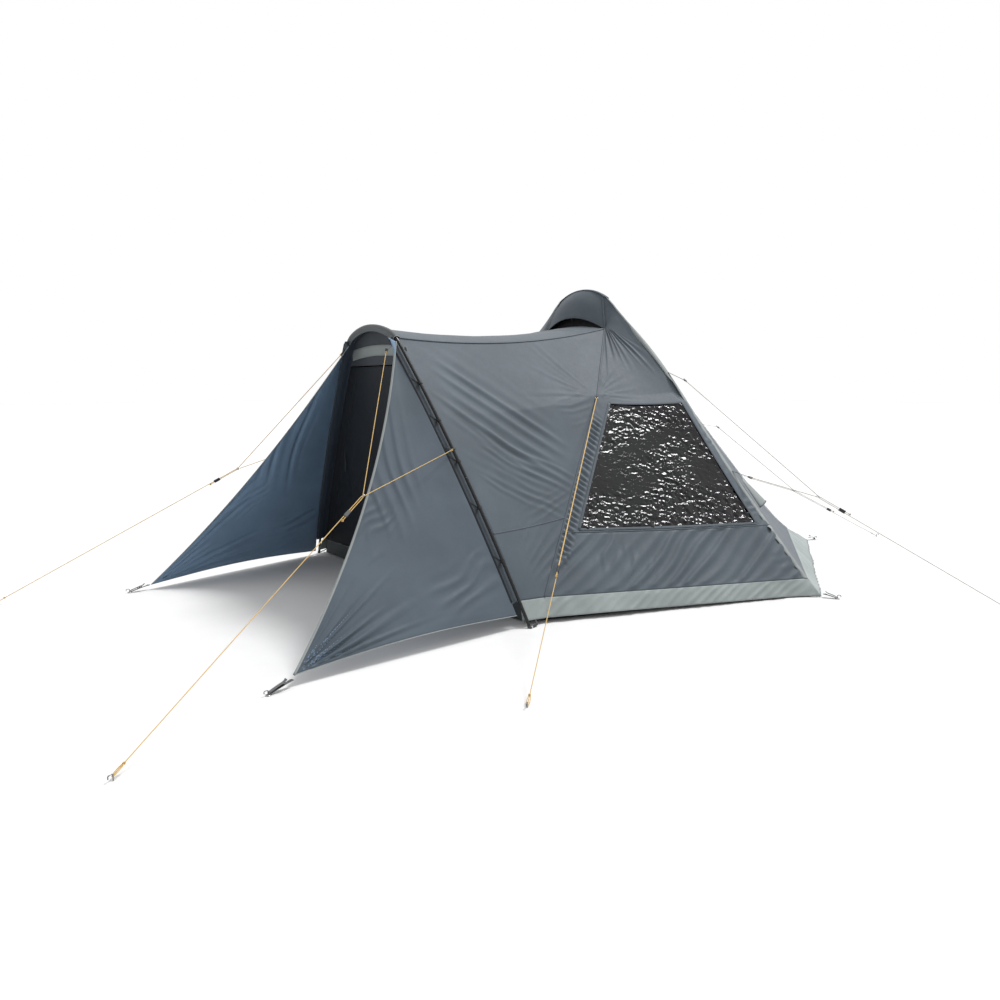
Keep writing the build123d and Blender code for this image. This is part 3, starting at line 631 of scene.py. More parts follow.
# near black: the door's own dark cloth together with painted shade of the dark room behind the
# doorway
door_cloth_and_painted_shade = cloth_material("door_cloth_and_painted_shade", (0.012, 0.016, 0.022), roughness=0.7, sheen=0.03)
header_cloth = cloth_material("header_cloth", (0.045, 0.052, 0.062), roughness=0.7)
floor_cloth = cloth_material("groundsheet_cloth", (0.040, 0.045, 0.050), roughness=0.5)
beam_cloth = cloth_material("beam_sleeve_cloth", (0.055, 0.062, 0.068), per_metre=600)
insect_mesh = mesh_material()
film = film_material()
webbing = webbing_material("webbing_tape", (0.035, 0.038, 0.040))
strap_grey = webbing_material("webbing_grey", (0.120, 0.128, 0.130))
pole_coat = metal_material("pole_powder_coat", (0.010, 0.011, 0.012), 0.28, 0.0, 40.0, 0.3)
plated = metal_material("plated_steel", (0.55, 0.55, 0.56), 0.3)
peg_plated = metal_material("peg_steel_dark", (0.20, 0.20, 0.21), 0.4)
black_plastic = plastic_material("black_moulding", (0.014, 0.014, 0.016))
grey_plastic = plastic_material("grey_moulding", (0.05, 0.052, 0.055))
amber_cord = cord_material("amber_cord", (0.62, 0.34, 0.05), (0.78, 0.55, 0.22))
pale_cord = cord_material("pale_cord", (0.42, 0.38, 0.32), (0.60, 0.57, 0.50))
thread = plastic_material("sewing_thread", (0.05, 0.058, 0.066), 0.7)
FLY_CLOTHS = (fly, fly_inside_painted_glow)


# ---- outlines of the room, right-hand side ----
ARCH_SLOPE = math.atan2(ARCH_VIRTUAL_PEAK, ARCH_HALF_SPAN)
CROWN_CENTRE = ARCH_VIRTUAL_PEAK - CROWN_RADIUS / math.cos(ARCH_SLOPE)
TANGENT_Z = CROWN_CENTRE + CROWN_RADIUS * math.cos(ARCH_SLOPE)


def crown(x, y=0.0):
    x = np.asarray(x, float)
    z = CROWN_CENTRE + np.sqrt(CROWN_RADIUS ** 2 - x ** 2)
    return np.stack([x, np.full_like(x, y), z], axis=-1)


def arch_leg(height):
    """The straight leg's outer edge at a height, without its bow."""
    height = np.asarray(height, float)
    x = ARCH_HALF_SPAN * (1 - height / ARCH_VIRTUAL_PEAK)
    return np.stack([x, np.zeros_like(x), height], axis=-1)


def bow(height, share=1.0, size=ARCH_BOW):
    """Outward push of the bowed leg at a height, for a share of it."""
    t = np.clip(np.asarray(height, float) / TANGENT_Z, 0, 1)
    push = (size * 89.9 * t ** 6 * (1 - t) ** 2 * share)[..., None]
    return push * arr(math.sin(ARCH_SLOPE), 0, math.cos(ARCH_SLOPE))


def rear_ridge(height):
    height = np.asarray(height, float)
    t = height / REAR_RIDGE_TOP[2]
    flare = np.exp(-height / FLARE_HEIGHT)
    x = REAR_FOOT[0] + (REAR_RIDGE_TOP[0] - REAR_FOOT[0]) * t + REAR_FLARE[0] * flare
    y = REAR_FOOT[1] + (REAR_RIDGE_TOP[1] - REAR_FOOT[1]) * t + REAR_FLARE[1] * flare
    return np.stack([x, y, height], axis=-1)


def porch_seam(height):
    """Seam between the porch wall and the side panel: ground, side tab, hood corner."""
    height = np.asarray(height, float)
    foot, tab, head = SEAM_FOOT, SIDE_TAB, HOOD_CORNER
    low = mix(foot, tab, height / tab[2])
    high = mix(tab, head, (height - tab[2]) / (head[2] - tab[2]))
    return np.where((height <= tab[2])[..., None], low, high)


def hood_lip(u):
    u = np.asarray(u, float)
    rise = 1 - u * u
    return np.stack([u * HOOD_CORNER[0], HOOD_CORNER[1] - HOOD_LIP_REACH * rise,
                     HOOD_CORNER[2] + HOOD_LIP_RISE * rise], axis=-1)


# ---- the pole arch, in its leaning plane: u across, v up, w out of the doorway ----
TOP_END = (POLE_TOP_RADIUS * math.sin(POLE_TOP_ANGLE),
           POLE_TOP - POLE_TOP_RADIUS * (1 - math.cos(POLE_TOP_ANGLE)))
SHOULDER_END = (
    TOP_END[0] + SHOULDER_RADIUS * (math.sin(SHOULDER_ANGLE) - math.sin(POLE_TOP_ANGLE)),
    TOP_END[1] - SHOULDER_RADIUS * (math.cos(POLE_TOP_ANGLE) - math.cos(SHOULDER_ANGLE)))
LEG_CHORD = math.hypot(POLE_HALF_SPAN - SHOULDER_END[0], SHOULDER_END[1])
LEG_CHORD_ANGLE = math.atan2(SHOULDER_END[1], POLE_HALF_SPAN - SHOULDER_END[0])
LEG_RADIUS = LEG_CHORD / (2 * math.sin(LEG_CHORD_ANGLE - SHOULDER_ANGLE))


def leg_u(v):
    """Distance of the right leg from the centre line at v; above the shoulder it runs on."""
    start = SHOULDER_ANGLE
    cosine = math.cos(start) - (SHOULDER_END[1] - np.asarray(v, float)) / LEG_RADIUS
    angle = np.arccos(cosine)
    return SHOULDER_END[0] + LEG_RADIUS * (np.sin(angle) - math.sin(start))


def pole_world(u, v, w=0.0):
    u, v, w = np.broadcast_arrays(*[np.asarray(k, float) for k in (u, v, w)])
    c, s = math.cos(POLE_LEAN), math.sin(POLE_LEAN)
    return np.stack([u, ENTRY_Y - v * s - w * c, v * c - w * s], axis=-1)


def top_arc(angle):
    """u, v of the pole's top and shoulders by slope, negative on the left."""
    a = np.abs(angle)
    on_top = a <= POLE_TOP_ANGLE
    u = np.where(on_top, POLE_TOP_RADIUS * np.sin(a),
                 TOP_END[0] + SHOULDER_RADIUS * (np.sin(a) - math.sin(POLE_TOP_ANGLE)))
    v = np.where(on_top, POLE_TOP - POLE_TOP_RADIUS * (1 - np.cos(a)),
                 TOP_END[1] - SHOULDER_RADIUS * (math.cos(POLE_TOP_ANGLE) - np.cos(a)))
    return np.sign(angle) * u, v


def pole_edge(height, inside, w):
    """Point beside the right leg at a height: so far inside it and so far in front."""
    v = np.minimum(np.asarray(height, float) / math.cos(POLE_LEAN), SHOULDER_END[1] + 0.09)
    return pole_world(leg_u(v) - inside, v, w)


ROOF_START = pole_edge(1.88, 0.018, -0.024)


def roof_edge(t):
    point = mix(ROOF_START, HOOD_CORNER, t)
    point[..., 2] -= RIDGE_SAG * 4 * np.asarray(t) * (1 - np.asarray(t))
    return point


# ---- side panel and window: one surface over cells that share the window's corners ----
def cell_surface(columns, rows, corners):
    """Bilinear cells: corners[row line][column line], sampled at column and row places."""
    corners = np.asarray(corners, float)
    i = np.minimum(rows.astype(int), corners.shape[0] - 2)
    j = np.minimum(columns.astype(int), corners.shape[1] - 2)
    fi, fj = (rows - i)[:, None, None], (columns - j)[None, :, None]
    a, b = corners[i][:, j], corners[i][:, j + 1]
    c, d = corners[i + 1][:, j], corners[i + 1][:, j + 1]
    return (a * (1 - fj) + b * fj) * (1 - fi) + (c * (1 - fj) + d * fj) * fi


def side_corners():
    top_left, top_right, low_right, low_left = [arr(*p) for p in WINDOW]
    bottom = (porch_seam(SKIRT_TOP[0]), arch_leg(SKIRT_TOP[1]))
    tab = (porch_seam(SIDE_TAB[2]), arch_leg(SIDE_TAB[2] - 0.01))
    hood = (arr(*HOOD_CORNER), arch_leg(TANGENT_Z))
    peak = (crown(HOOD_TOP_HALF, -0.006), crown(HOOD_TOP_HALF + 0.012, -0.001))

    def line(ends, left, right):
        return [ends[0], mix(*ends, left), mix(*ends, right), ends[1]]

    return [line(bottom, 0.08, 0.93),
            [porch_seam(low_left[2]), low_left, low_right, arch_leg(0.50)],
            [porch_seam(top_left[2]), top_left, top_right, arch_leg(1.394)],
            line(tab, 0.14, 0.86), line(hood, 0.2, 0.8), line(peak, 0.3, 0.7)]


def side_surface(columns, rows):
    """The taut side panel with the arch's bow and the crown's roundness."""
    grid = cell_surface(columns, rows, side_corners())
    height = grid[..., 2]
    seam = porch_seam(np.clip(height, 0, HOOD_CORNER[2]))
    edge = arch_leg(np.clip(height, 0, TANGENT_Z))
    span = np.maximum(np.linalg.norm(edge - seam, axis=-1), 0.05)
    share = np.clip(np.linalg.norm(grid - seam, axis=-1) / span, 0, 1)
    grid = grid + bow(height, share ** 2)
    above = smooth((height - 1.95) / 0.20)
    round_out = 0.006 * np.sin(math.pi * np.clip((height - TANGENT_Z) / 0.10, 0, 1))
    hollow = -0.018 * np.sin(math.pi * share) * smooth(height / 0.5) * (1 - above)
    return grid + (round_out + hollow)[..., None] * SIDE_NORMAL


SIDE_NORMAL = unit(np.cross(arch_leg(0) - arr(*SEAM_FOOT), arch_leg(2.0) - arr(*SEAM_FOOT)))
SIDE_ALONG = unit(arch_leg(0) - arr(*SEAM_FOOT))
SIDE_UP = np.cross(SIDE_NORMAL, SIDE_ALONG)


def side_flat(grid):
    """p along the ground line from the pole foot, q up the slope."""
    local = grid - arr(*SEAM_FOOT)
    return local @ SIDE_ALONG, local @ SIDE_UP


def side_wrinkles(grid, seed):
    p, q = side_flat(grid)
    tab_p, tab_q = side_flat(arr(*SIDE_TAB))
    low_p, low_q = side_flat(arr(*WINDOW[3]))
    high_p, high_q = side_flat(arr(*WINDOW[0]))
    h = slack(p, q, 0.004, seed)
    # under the window: slanting folds that climb to the right
    h += band_folds(p, q, (0.02, 2.30, -0.05, 0.76), 38, 0.095, 0.026, seed + 10, 0.35)
    h += folds(p, q, (0.95, 0.10), 62, 0.42, 0.62, 0.060, 0.011, seed + 20, 0.9)
    # over the window: fans from the side tab, from the hood corner and off the arch
    h += fan(p, q, (tab_p, tab_q), -22, 112, 0.62, 9, 0.009, seed + 30)
    hood_p, hood_q = side_flat(arr(*HOOD_CORNER))
    h += fan(p, q, (hood_p, hood_q), -112, 60, 0.85, 8, 0.013, seed + 35)
    h += folds(p, q, (tab_p + 0.30, tab_q - 0.02), 118, 0.75, 0.62, 0.085, 0.014, seed + 40, 0.6)
    # gathers across the strip between the seam and the window
    lean = math.atan2(high_q - low_q, high_p - low_p)
    along = (p - low_p) * math.cos(lean) + (q - low_q) * math.sin(lean)
    beside = (p - low_p) * math.sin(lean) - (q - low_q) * math.cos(lean)
    strip = bump_window(-beside / 0.17, 0.3)
    reach = bump_window((along + 0.35) / 1.42, 0.08)
    ladder = np.cos(2 * math.pi * (along + 0.35 * beside) / 0.048
                    + 1.6 * line_noise(along, 0.11, seed + 50))
    h += 0.0075 * ladder * strip * reach
    # short puckers down the arch edge beside the window
    edge = arch_leg(np.clip(grid[..., 2], 0, TANGENT_Z))
    off_edge = np.linalg.norm(edge - grid, axis=-1)
    pucker = np.cos(2 * math.pi * (q - 0.3 * p) / 0.075 + 5.0 * line_noise(q, 0.2, seed + 60))
    pucker *= smooth(0.5 + line_noise(q, 0.16, seed + 61))
    h += 0.005 * pucker * bump_window(off_edge / 0.20, 0.3) * bump_window(q / 1.6, 0.2)
    return h


def edge_hold(shape, width=6):
    """0 at the sewn borders of a grid, 1 inside."""
    rows = np.minimum(np.arange(shape[0]), np.arange(shape[0])[::-1])
    columns = np.minimum(np.arange(shape[1]), np.arange(shape[1])[::-1])
    return smooth(np.minimum(rows[:, None], columns[None, :]) / width)


def spans(*cells):
    """Column or row places: so many steps in each cell."""
    places = [np.linspace(k, k + 1, steps, endpoint=False) for k, steps in enumerate(cells)]
    return np.concatenate(places + [arr(len(cells))])


SIDE_COLUMNS = (20, 110, 16)
SIDE_ROWS = (52, 128, 7, 66, 30)
DETAIL = 1.0


def side_steps():
    scale = [tuple(max(3, int(k * DETAIL)) for k in cells) for cells in (SIDE_COLUMNS, SIDE_ROWS)]
    return spans(*scale[0]), spans(*scale[1])


def build_side(word, side):
    columns, rows = side_steps()
    base = side_surface(columns, rows)
    seed = 100 if side > 0 else 300
    lifted = side_wrinkles(base, seed) * edge_hold(base.shape, 4)
    # the cloth lies flatter around the window
    inside = ((rows[:, None] > 0.93) & (rows[:, None] < 2.07)
              & (columns[None, :] > 0.9) & (columns[None, :] < 2.1))
    lifted = np.where(inside, lifted * 0.25, lifted)
    grid = raised(base, lifted)
    mid_rows, mid_columns = (rows[1:] + rows[:-1]) / 2, (columns[1:] + columns[:-1]) / 2
    pane = (((mid_rows > 1) & (mid_rows < 2))[:, None]
            & ((mid_columns > 1) & (mid_columns < 2))[None, :])
    keep = ~pane
    flipped = keep if side > 0 else keep[:, ::-1]
    panel = grid_mesh(f"side_cloth_{word}", mirror(grid, side), CLOTH_THICK, fly, fly_inside_painted_glow, flipped)
    put(panel, "fly_fabric", f"side_panel_{word}")
    declare(base, keep=keep)
    build_window(word, side, seed)
    return grid, base


def build_window(word, side, seed):
    steps = int(210 * DETAIL)
    places = np.linspace(0.985, 2.015, steps)
    base = side_surface(places, places)
    base -= SIDE_NORMAL * 0.002
    p, q = side_flat(base)
    crease = noise(p * 0.7 + q * 0.2, q, 0.019, seed + 70)
    crease += 0.8 * noise(p * 0.6 - q * 0.5, q + 0.4 * p, 0.031, seed + 71)
    crease += 0.6 * noise(p * 0.9, q, 0.012, seed + 72)
    belly = noise(p, q, 0.28, seed + 73)
    frame_hold = edge_hold(base.shape, 5)
    share = np.linspace(0, 1, steps)[:, None]
    patchy = noise(p * 0.7 + q * 0.4, q * 1.3 - p * 0.5, 0.20, seed + 74)
    bands = smooth((0.40 - share + 0.20 * patchy) / 0.14) * (0.75 + 0.25 * patchy)
    bands = np.maximum(bands, smooth(1 - share / 0.10))
    bands = np.maximum(bands, 0.50 * smooth(0.5 + patchy))
    lifted = (0.0062 * crease * (0.10 + 0.90 * bands) + 0.006 * belly) * frame_hold
    grid = raised(base, lifted)
    sew(f"window_film_sheet_{word}", grid, base, "window_film", (film,), f"window_{word}", side,
        0.0008)
    border = np.concatenate([side_surface(np.linspace(1, 2, 40), arr(1.0))[0],
                             side_surface(arr(2.0), np.linspace(1, 2, 40))[1:, 0],
                             side_surface(np.linspace(2, 1, 40), arr(2.0))[0][1:],
                             side_surface(arr(1.0), np.linspace(2, 1, 40))[1:, 0]])
    for edge, (low, high) in {"low": (0, 40), "right": (39, 79), "top": (78, 118),
                              "left": (117, 157)}.items():
        line = border[low:high] * arr(side, 1, 1)
        facing = SIDE_NORMAL * arr(side, 1, 1)
        tape(f"window_hem_{edge}_{word}", resample(line, 60), facing, 0.020, 0.0008, seam_cloth,
             "fly_fabric", 0.0008, 0.0022)


# ---- porch wall between the pole and the seam ----
def extension_base(rows):
    low, top_pole = SKIRT_TOP[0], ROOF_START[2]
    top_seam = HOOD_CORNER[2] - 0.001
    v = np.linspace(0, 1, rows)
    pole_height = low + (top_pole - low) * v
    seam_height = low + (top_seam - low) * v
    front = [pole_edge(pole_height, inset, w) for inset, w in
             ((0.020, 0.048), (0.023, 0.036), (0.0255, 0.018), (0.0265, 0.0), (0.0245, -0.014))]
    start, end = pole_edge(pole_height, 0.020, -0.026), porch_seam(seam_height)
    count = int(150 * DETAIL)
    u = np.linspace(0, 1, count)
    wall = mix(start[:, None], end[:, None], np.broadcast_to(u, (rows, count)))
    sag = RIDGE_SAG * 4 * u * (1 - u)
    wall[..., 2] -= sag[None] * v[:, None] ** 2
    hollow = 0.028 * np.sin(math.pi * u)[None] * np.sin(math.pi * v)[:, None]
    wall -= hollow[..., None] * unit(normals(wall))
    return np.concatenate([np.stack(front, axis=1), wall], axis=1)


def extension_wrinkles(base, seed):
    """p runs back from the pole foot, q up."""
    p, q = base[..., 1] - ENTRY_Y, base[..., 2]
    tab_p = SIDE_TAB[1] - ENTRY_Y
    h = slack(p, q, 0.004, seed)
    # long drag lines that fall from the pole towards the back
    h += folds(p, q, (-0.30, 1.42), -36, 1.15, 0.72, 0.095, 0.015, seed + 10, 0.7)
    h += folds(p, q, (-0.15, 1.02), -33, 0.95, 0.50, 0.070, 0.012, seed + 20, 0.9)
    h += folds(p, q, (-0.05, 0.86), -24, 0.60, 0.36, 0.060, 0.006, seed + 25, 0.9)
    # fans off the side tab and the hood corner
    h += fan(p, q, (tab_p, SIDE_TAB[2] - 0.02), 100, 95, 0.75, 9, 0.008, seed + 30)
    h += folds(p, q, (0.95, 1.18), 14, 0.42, 0.30, 0.050, 0.004, seed + 35, 0.8)
    # below the horizontal seam: short puckers that climb to the back
    h += band_folds(p, q, (0.10, 1.60, 0.10, 0.70), 34, 0.055, 0.008, seed + 40, 0.8)
    h += folds(p, q, (0.25, 0.55), 20, 0.55, 0.16, 0.040, 0.004, seed + 45, 0.8)
    return h


def build_extension(word, side):
    rows = int(190 * DETAIL)
    base = extension_base(rows)
    seed = 500 if side > 0 else 600
    lifted = extension_wrinkles(base, seed) * edge_hold(base.shape, 7)
    lifted[:, :7] *= 0.15        # the first columns lie round the pole
    grid = raised(base, lifted)
    sew(f"porch_wall_cloth_{word}", grid, base, "fly_fabric", FLY_CLOTHS,
        f"extension_panel_{word}", side)
    return grid


# ---- roof ----
def build_roof():
    rows, columns = int(150 * DETAIL), int(70 * DETAIL)
    t = np.linspace(0.0, 0.992, rows)
    u = np.linspace(-1, 1, columns)
    edge = roof_edge(t)
    rise = ROOF_CROWN[0] * (1 - t) + ROOF_CROWN[1] * t
    base = np.stack([edge[:, None, 0] * u, np.broadcast_to(edge[:, 1:2], (rows, columns)),
                     edge[:, 2:3] + rise[:, None] * (1 - u * u)], axis=-1)
    p, q = base[..., 0], base[..., 1] - ENTRY_Y
    h = slack(p, q, 0.003, 700)
    h += folds(p, q, (-0.45, 1.25), 20, 0.9, 0.5, 0.09, 0.008, 710, 0.7)
    h += fan(p, q, (0.36, 1.96), 170, 90, 0.6, 7, 0.009, 720)
    h += fan(p, q, (-0.36, 1.96), -80, 90, 0.6, 7, 0.009, 730)
    grid = raised(base, h * edge_hold(base.shape, 4))
    sew("roof_cloth", grid, base, "fly_fabric", FLY_CLOTHS, "roof_panel")
    return grid


# ---- hood over the roof vent ----
def build_hood():
    rows, columns = int(60 * DETAIL) + 8, int(90 * DETAIL) + 8
    v, u = np.linspace(0, 1, rows), np.linspace(-1, 1, columns)
    lip, top = hood_lip(u), crown(HOOD_TOP_HALF * u, -0.004)
    base = mix(lip[None], top[None], np.broadcast_to(v[:, None], (rows, columns)))
    belly = 0.030 * np.sin(math.pi * v)[:, None] * (1 - 0.55 * u * u)
    base = base + belly[..., None] * unit(arr(0, -1, 1))
    p, q = base[..., 0], base[..., 2]
    h = slack(p, q, 0.0025, 800)
    h += folds(p, q, (-0.4, 2.08), 70, 0.4, 0.8, 0.11, 0.004, 810, 0.6)
    grid = raised(base, h * edge_hold(base.shape, 3))
    sew("vent_hood_cloth", grid, base, "fly_fabric", FLY_CLOTHS, "vent_hood", thickness=0.0016)
    # stiffened lip: a rolled hem
    across = np.linspace(-1, 1, 80)
    edge = hood_lip(across) + arr(0, 0.001, -0.003)
    tube("vent_hood_lip", edge, 0.0055, seam_cloth, "fly_fabric", 10, (1.0, 0.75))
    for word, side in SIDES.items():
        seam = mix(np.broadcast_to(arr(*HOOD_CORNER), (40, 3)), crown(HOOD_TOP_HALF, -0.006),
                   np.linspace(0.0, 0.97, 40))
        bulge = 0.028 * np.sin(math.pi * np.linspace(0, 0.97, 40))
        seam = (seam + bulge[:, None] * unit(arr(0, -1, 1)) * 0.5) * arr(side, 1, 1)
        facing = unit(arr(0.35 * side, -0.6, 0.75))
        tape(f"hood_seam_{word}", seam, facing, 0.012, 0.001, seam_cloth, "fly_fabric", 0.0008,
             0.004)


def build_vent_mesh():
    u = np.linspace(-0.96, 0.96, 60)
    v = np.linspace(0, 1, 14)
    lip = hood_lip(u)
    low = np.stack([u * (HOOD_CORNER[0] - 0.020), np.full_like(u, HOOD_CORNER[1] + 0.018),
                    HOOD_CORNER[2] - 0.004 + 0.034 * (1 - u * u)], axis=-1)
    high = np.stack([lip[:, 0] * 0.98, np.full_like(u, HOOD_CORNER[1] + 0.052),
                     lip[:, 2] + 0.02], axis=-1)
    base = mix(low[None], high[None], np.broadcast_to(v[:, None], (14, 60)))
    grid = raised(base, 0.003 * noise(base[..., 0], base[..., 2], 0.1, 850))
    sew("roof_vent_net", grid, base, "mesh", (insect_mesh,), "vent_mesh", thickness=0.0009)
    strut = resample([(0.0, -0.092, 2.085), (0.0, -0.130, 2.130), (0.0, -0.155, 2.163)], 12)
    tube("vent_prop", strut, 0.004, black_plastic, "clip_plastic", 10)


# ---- back of the room ----
def rear_side_base(rows, columns):
    v, u = np.linspace(0, 1, rows), np.linspace(0, 1, columns)
    low = SKIRT_TOP[1]
    arch_height = low + (TANGENT_Z - low) * v
    front = arch_leg(arch_height) + bow(arch_height) + arr(0, 0.004, 0)
    back = rear_ridge(low + (REAR_RIDGE_TOP[2] - 0.02 - low) * v)
    grid = mix(front[:, None], back[:, None], np.broadcast_to(u, (rows, columns)))
    hollow = 0.030 * np.sin(math.pi * u)[None] * np.sin(math.pi * v)[:, None]
    return raised(grid, -hollow)


def build_rear_side(word, side):
    base = rear_side_base(int(200 * DETAIL), int(120 * DETAIL))
    seed = 900 if side > 0 else 950
    p, q = base[..., 1], base[..., 2]
    h = slack(p, q, 0.0045, seed)
    h += folds(p, q, (0.1, 0.12), 58, 0.8, 1.5, 0.11, 0.012, seed + 10, 0.8)
    h += fan(p, q, (1.10, 1.12), 150, 100, 0.7, 8, 0.009, seed + 20)
    h += folds(p, q, (0.05, 1.3), 80, 0.8, 0.6, 0.07, 0.006, seed + 30, 0.7)
    grid = raised(base, h * edge_hold(base.shape, 6))
    sew(f"rear_side_cloth_{word}", grid, base, "fly_fabric", FLY_CLOTHS,
        f"rear_side_panel_{word}", side)
    return grid


def build_rear():
    rows, columns = int(200 * DETAIL), int(210 * DETAIL)
    v, u = np.linspace(0, 1, rows), np.linspace(1, -1, columns)
    low = SKIRT_TOP[1]
    height = low + (REAR_RIDGE_TOP[2] - 0.006 - low) * v
    ridge = rear_ridge(height)
    rise = (crown(REAR_RIDGE_TOP[0] * u)[:, 2] - REAR_RIDGE_TOP[2])[None] * (v ** 6)[:, None]
    base = np.stack([ridge[:, None, 0] * u, np.broadcast_to(ridge[:, 1:2], (rows, columns)),
                     ridge[:, 2:3] + rise], axis=-1)
    hollow = 0.030 * (1 - u * u)[None] * np.sin(math.pi * v)[:, None]
    base = raised(base, -hollow)
    p, q = base[..., 0], base[..., 2]
    h = slack(p, q, 0.005, 1000)
    h += folds(p, q, (0.15, 0.12), 62, 0.75, 1.2, 0.12, 0.012, 1010, 0.8)
    h += folds(p, q, (-0.15, 0.12), 118, 0.75, 1.2, 0.12, 0.012, 1020, 0.8)
    h += fan(p, q, (0.0, 2.2), 235, 70, 1.3, 9, 0.007, 1030)
    grid = raised(base, h * edge_hold(base.shape, 6))
    sew("rear_cloth", grid, base, "fly_fabric", FLY_CLOTHS, "rear_panel")
    return grid


def build_crown_strip():
    """The strip over the crown of the arch, from the hood's top to the rear panel."""
    x = np.linspace(-0.285, 0.285, 80)
    top = crown(x)
    places = ((-0.022, -0.008), (-0.008, 0.0015), (0.010, 0.0030), (0.028, -0.0005),
              (0.050, -0.030))
    grid = np.stack([top + arr(0, y, z) for y, z in places], axis=0)
    put(grid_mesh("crown_strip_cloth", grid, CLOTH_THICK, fly), "fly_fabric")


# ---- mud skirts ----
def build_skirt(name, top, hem, node, seed, side=1):
    """A strip that hangs from its seam and splays out to the hem."""
    count = len(top)
    v = np.linspace(1, 0, 16)
    base = mix(hem[None], top[None], np.broadcast_to(1 - v[:, None], (16, count)))
    reach = np.concatenate([[0], np.cumsum(np.linalg.norm(np.diff(top, axis=0), axis=1))])
    p = np.broadcast_to(reach, (16, count))
    down = np.broadcast_to(v[:, None], (16, count))
    q = (1 - down) * 0.14
    h = 0.004 * noise(p, q, 0.35, seed) + 0.006 * noise(p, q * 0.3, 0.11, seed + 1) * down
    h += band_folds(p, q, (-0.05, 3.0, -0.06, 0.20), 36, 0.055, 0.012, seed + 5, 0.9)
    grid = raised(base, h * smooth(down * 4))
    grid[..., 2] = np.maximum(grid[..., 2], 0.004)
    sew(name, grid, base, "skirt_fabric", (skirt_cloth,), node, side)
    hem_line = mirror(grid, side)[0] + arr(0, 0, 0.001)
    tube(name + "_hem", hem_line, 0.0032, trim_cloth, "skirt_fabric")


def build_skirts(side_base, rear_side_grids, rear_grid):
    for word, side in SIDES.items():
        top = resample(side_base[word][0], int(220 * DETAIL))
        pole_side = pole_edge(SKIRT_TOP[0], 0.0215, -0.020)
        top = resample(np.concatenate([[pole_side], top]), int(230 * DETAIL))
        hem = top + unit(SIDE_NORMAL * arr(1, 1, 0)) * 0.055
        hem[:, 2] = np.linspace(SKIRT_HEM[0], SKIRT_HEM[1], len(hem))
        near_arch = smooth((np.linspace(0, 1, len(hem)) - 0.88) / 0.12)
        hem = mix(hem, arr(2.384, -0.004, 0.010), near_arch ** 2)
        build_skirt(f"side_skirt_cloth_{word}", top - SIDE_NORMAL * 0.001, hem,
                    f"side_skirt_{word}", 1100 + side, side)
        top = resample(rear_side_grids[word][0], int(180 * DETAIL))
        hem = resample([(2.380, 0.006, 0.010), (1.450, 1.855, 0.005)], len(top))
        build_skirt(f"rear_side_skirt_cloth_{word}", top, hem,
                    "rear_skirts" if side > 0 else None, 1200 + side, side)
    top = resample(rear_grid[0], int(240 * DETAIL))
    hem = resample([(1.450, 1.860, 0.005), (-1.450, 1.860, 0.005)], len(top))
    build_skirt("rear_skirt_cloth", top, hem, None, 1300)


# ---- wings ----
def wing_front(word, t):
    """Front edge of the right-hand wing: a smooth curve from the corner to the head."""
    corner, head, dip = arr(*WING_CORNER), arr(*WING_HEAD), arr(*WING_DIP[word])
    if word == "left":
        corner, head = corner - arr(0, 0, 0.02), arr(0.295, -2.330, 1.845)
    middle = 2 * dip - (corner + head) / 2
    t = np.asarray(t, float)[..., None]
    return (1 - t) ** 2 * corner + 2 * t * (1 - t) * middle + t ** 2 * head


def wing_base(word, rows, columns):
    v = np.linspace(0, 1, rows)
    u = np.linspace(0, 1, columns)
    front = wing_front(word, v)
    back = pole_edge(WING_HEM[word] + (1.885 - WING_HEM[word]) * v, 0.020, 0.050)
    grid = mix(front[:, None], back[:, None], np.broadcast_to(u, (rows, columns)))
    hem_rise = 0.035 * np.sin(math.pi * u)[None] * (1 - v)[:, None] ** 4
    grid[..., 2] += hem_rise
    hollow = 0.022 * np.sin(math.pi * u)[None] * np.sin(math.pi * v)[:, None]
    return raised(grid, -hollow)


def wing_wrinkles(base, seed):
    """p runs from the corner towards the pole, q up."""
    corner = base[0, 0]
    p, q = base[..., 1] - corner[1], base[..., 2] - corner[2]
    h = slack(p, q, 0.004, seed)
    h += fan(p, q, (0.0, 0.0), 2, 58, 1.15, 9, 0.032, seed + 10, 0.10)
    h += fan(p, q, (0.0, 0.0), 20, 40, 0.42, 7, 0.012, seed + 15, 0.15)
    # long soft folds that hang from the head
    h += folds(p, q, (1.10, 0.55), 84, 1.15, 0.62, 0.090, 0.012, seed + 20, 0.7)
    h += folds(p, q, (0.62, 0.40), 36, 0.42, 0.34, 0.060, 0.008, seed + 30, 0.7)
    h += folds(p, q, (0.95, 0.02), 16, 0.60, 0.36, 0.085, 0.015, seed + 40, 0.7)
    return h


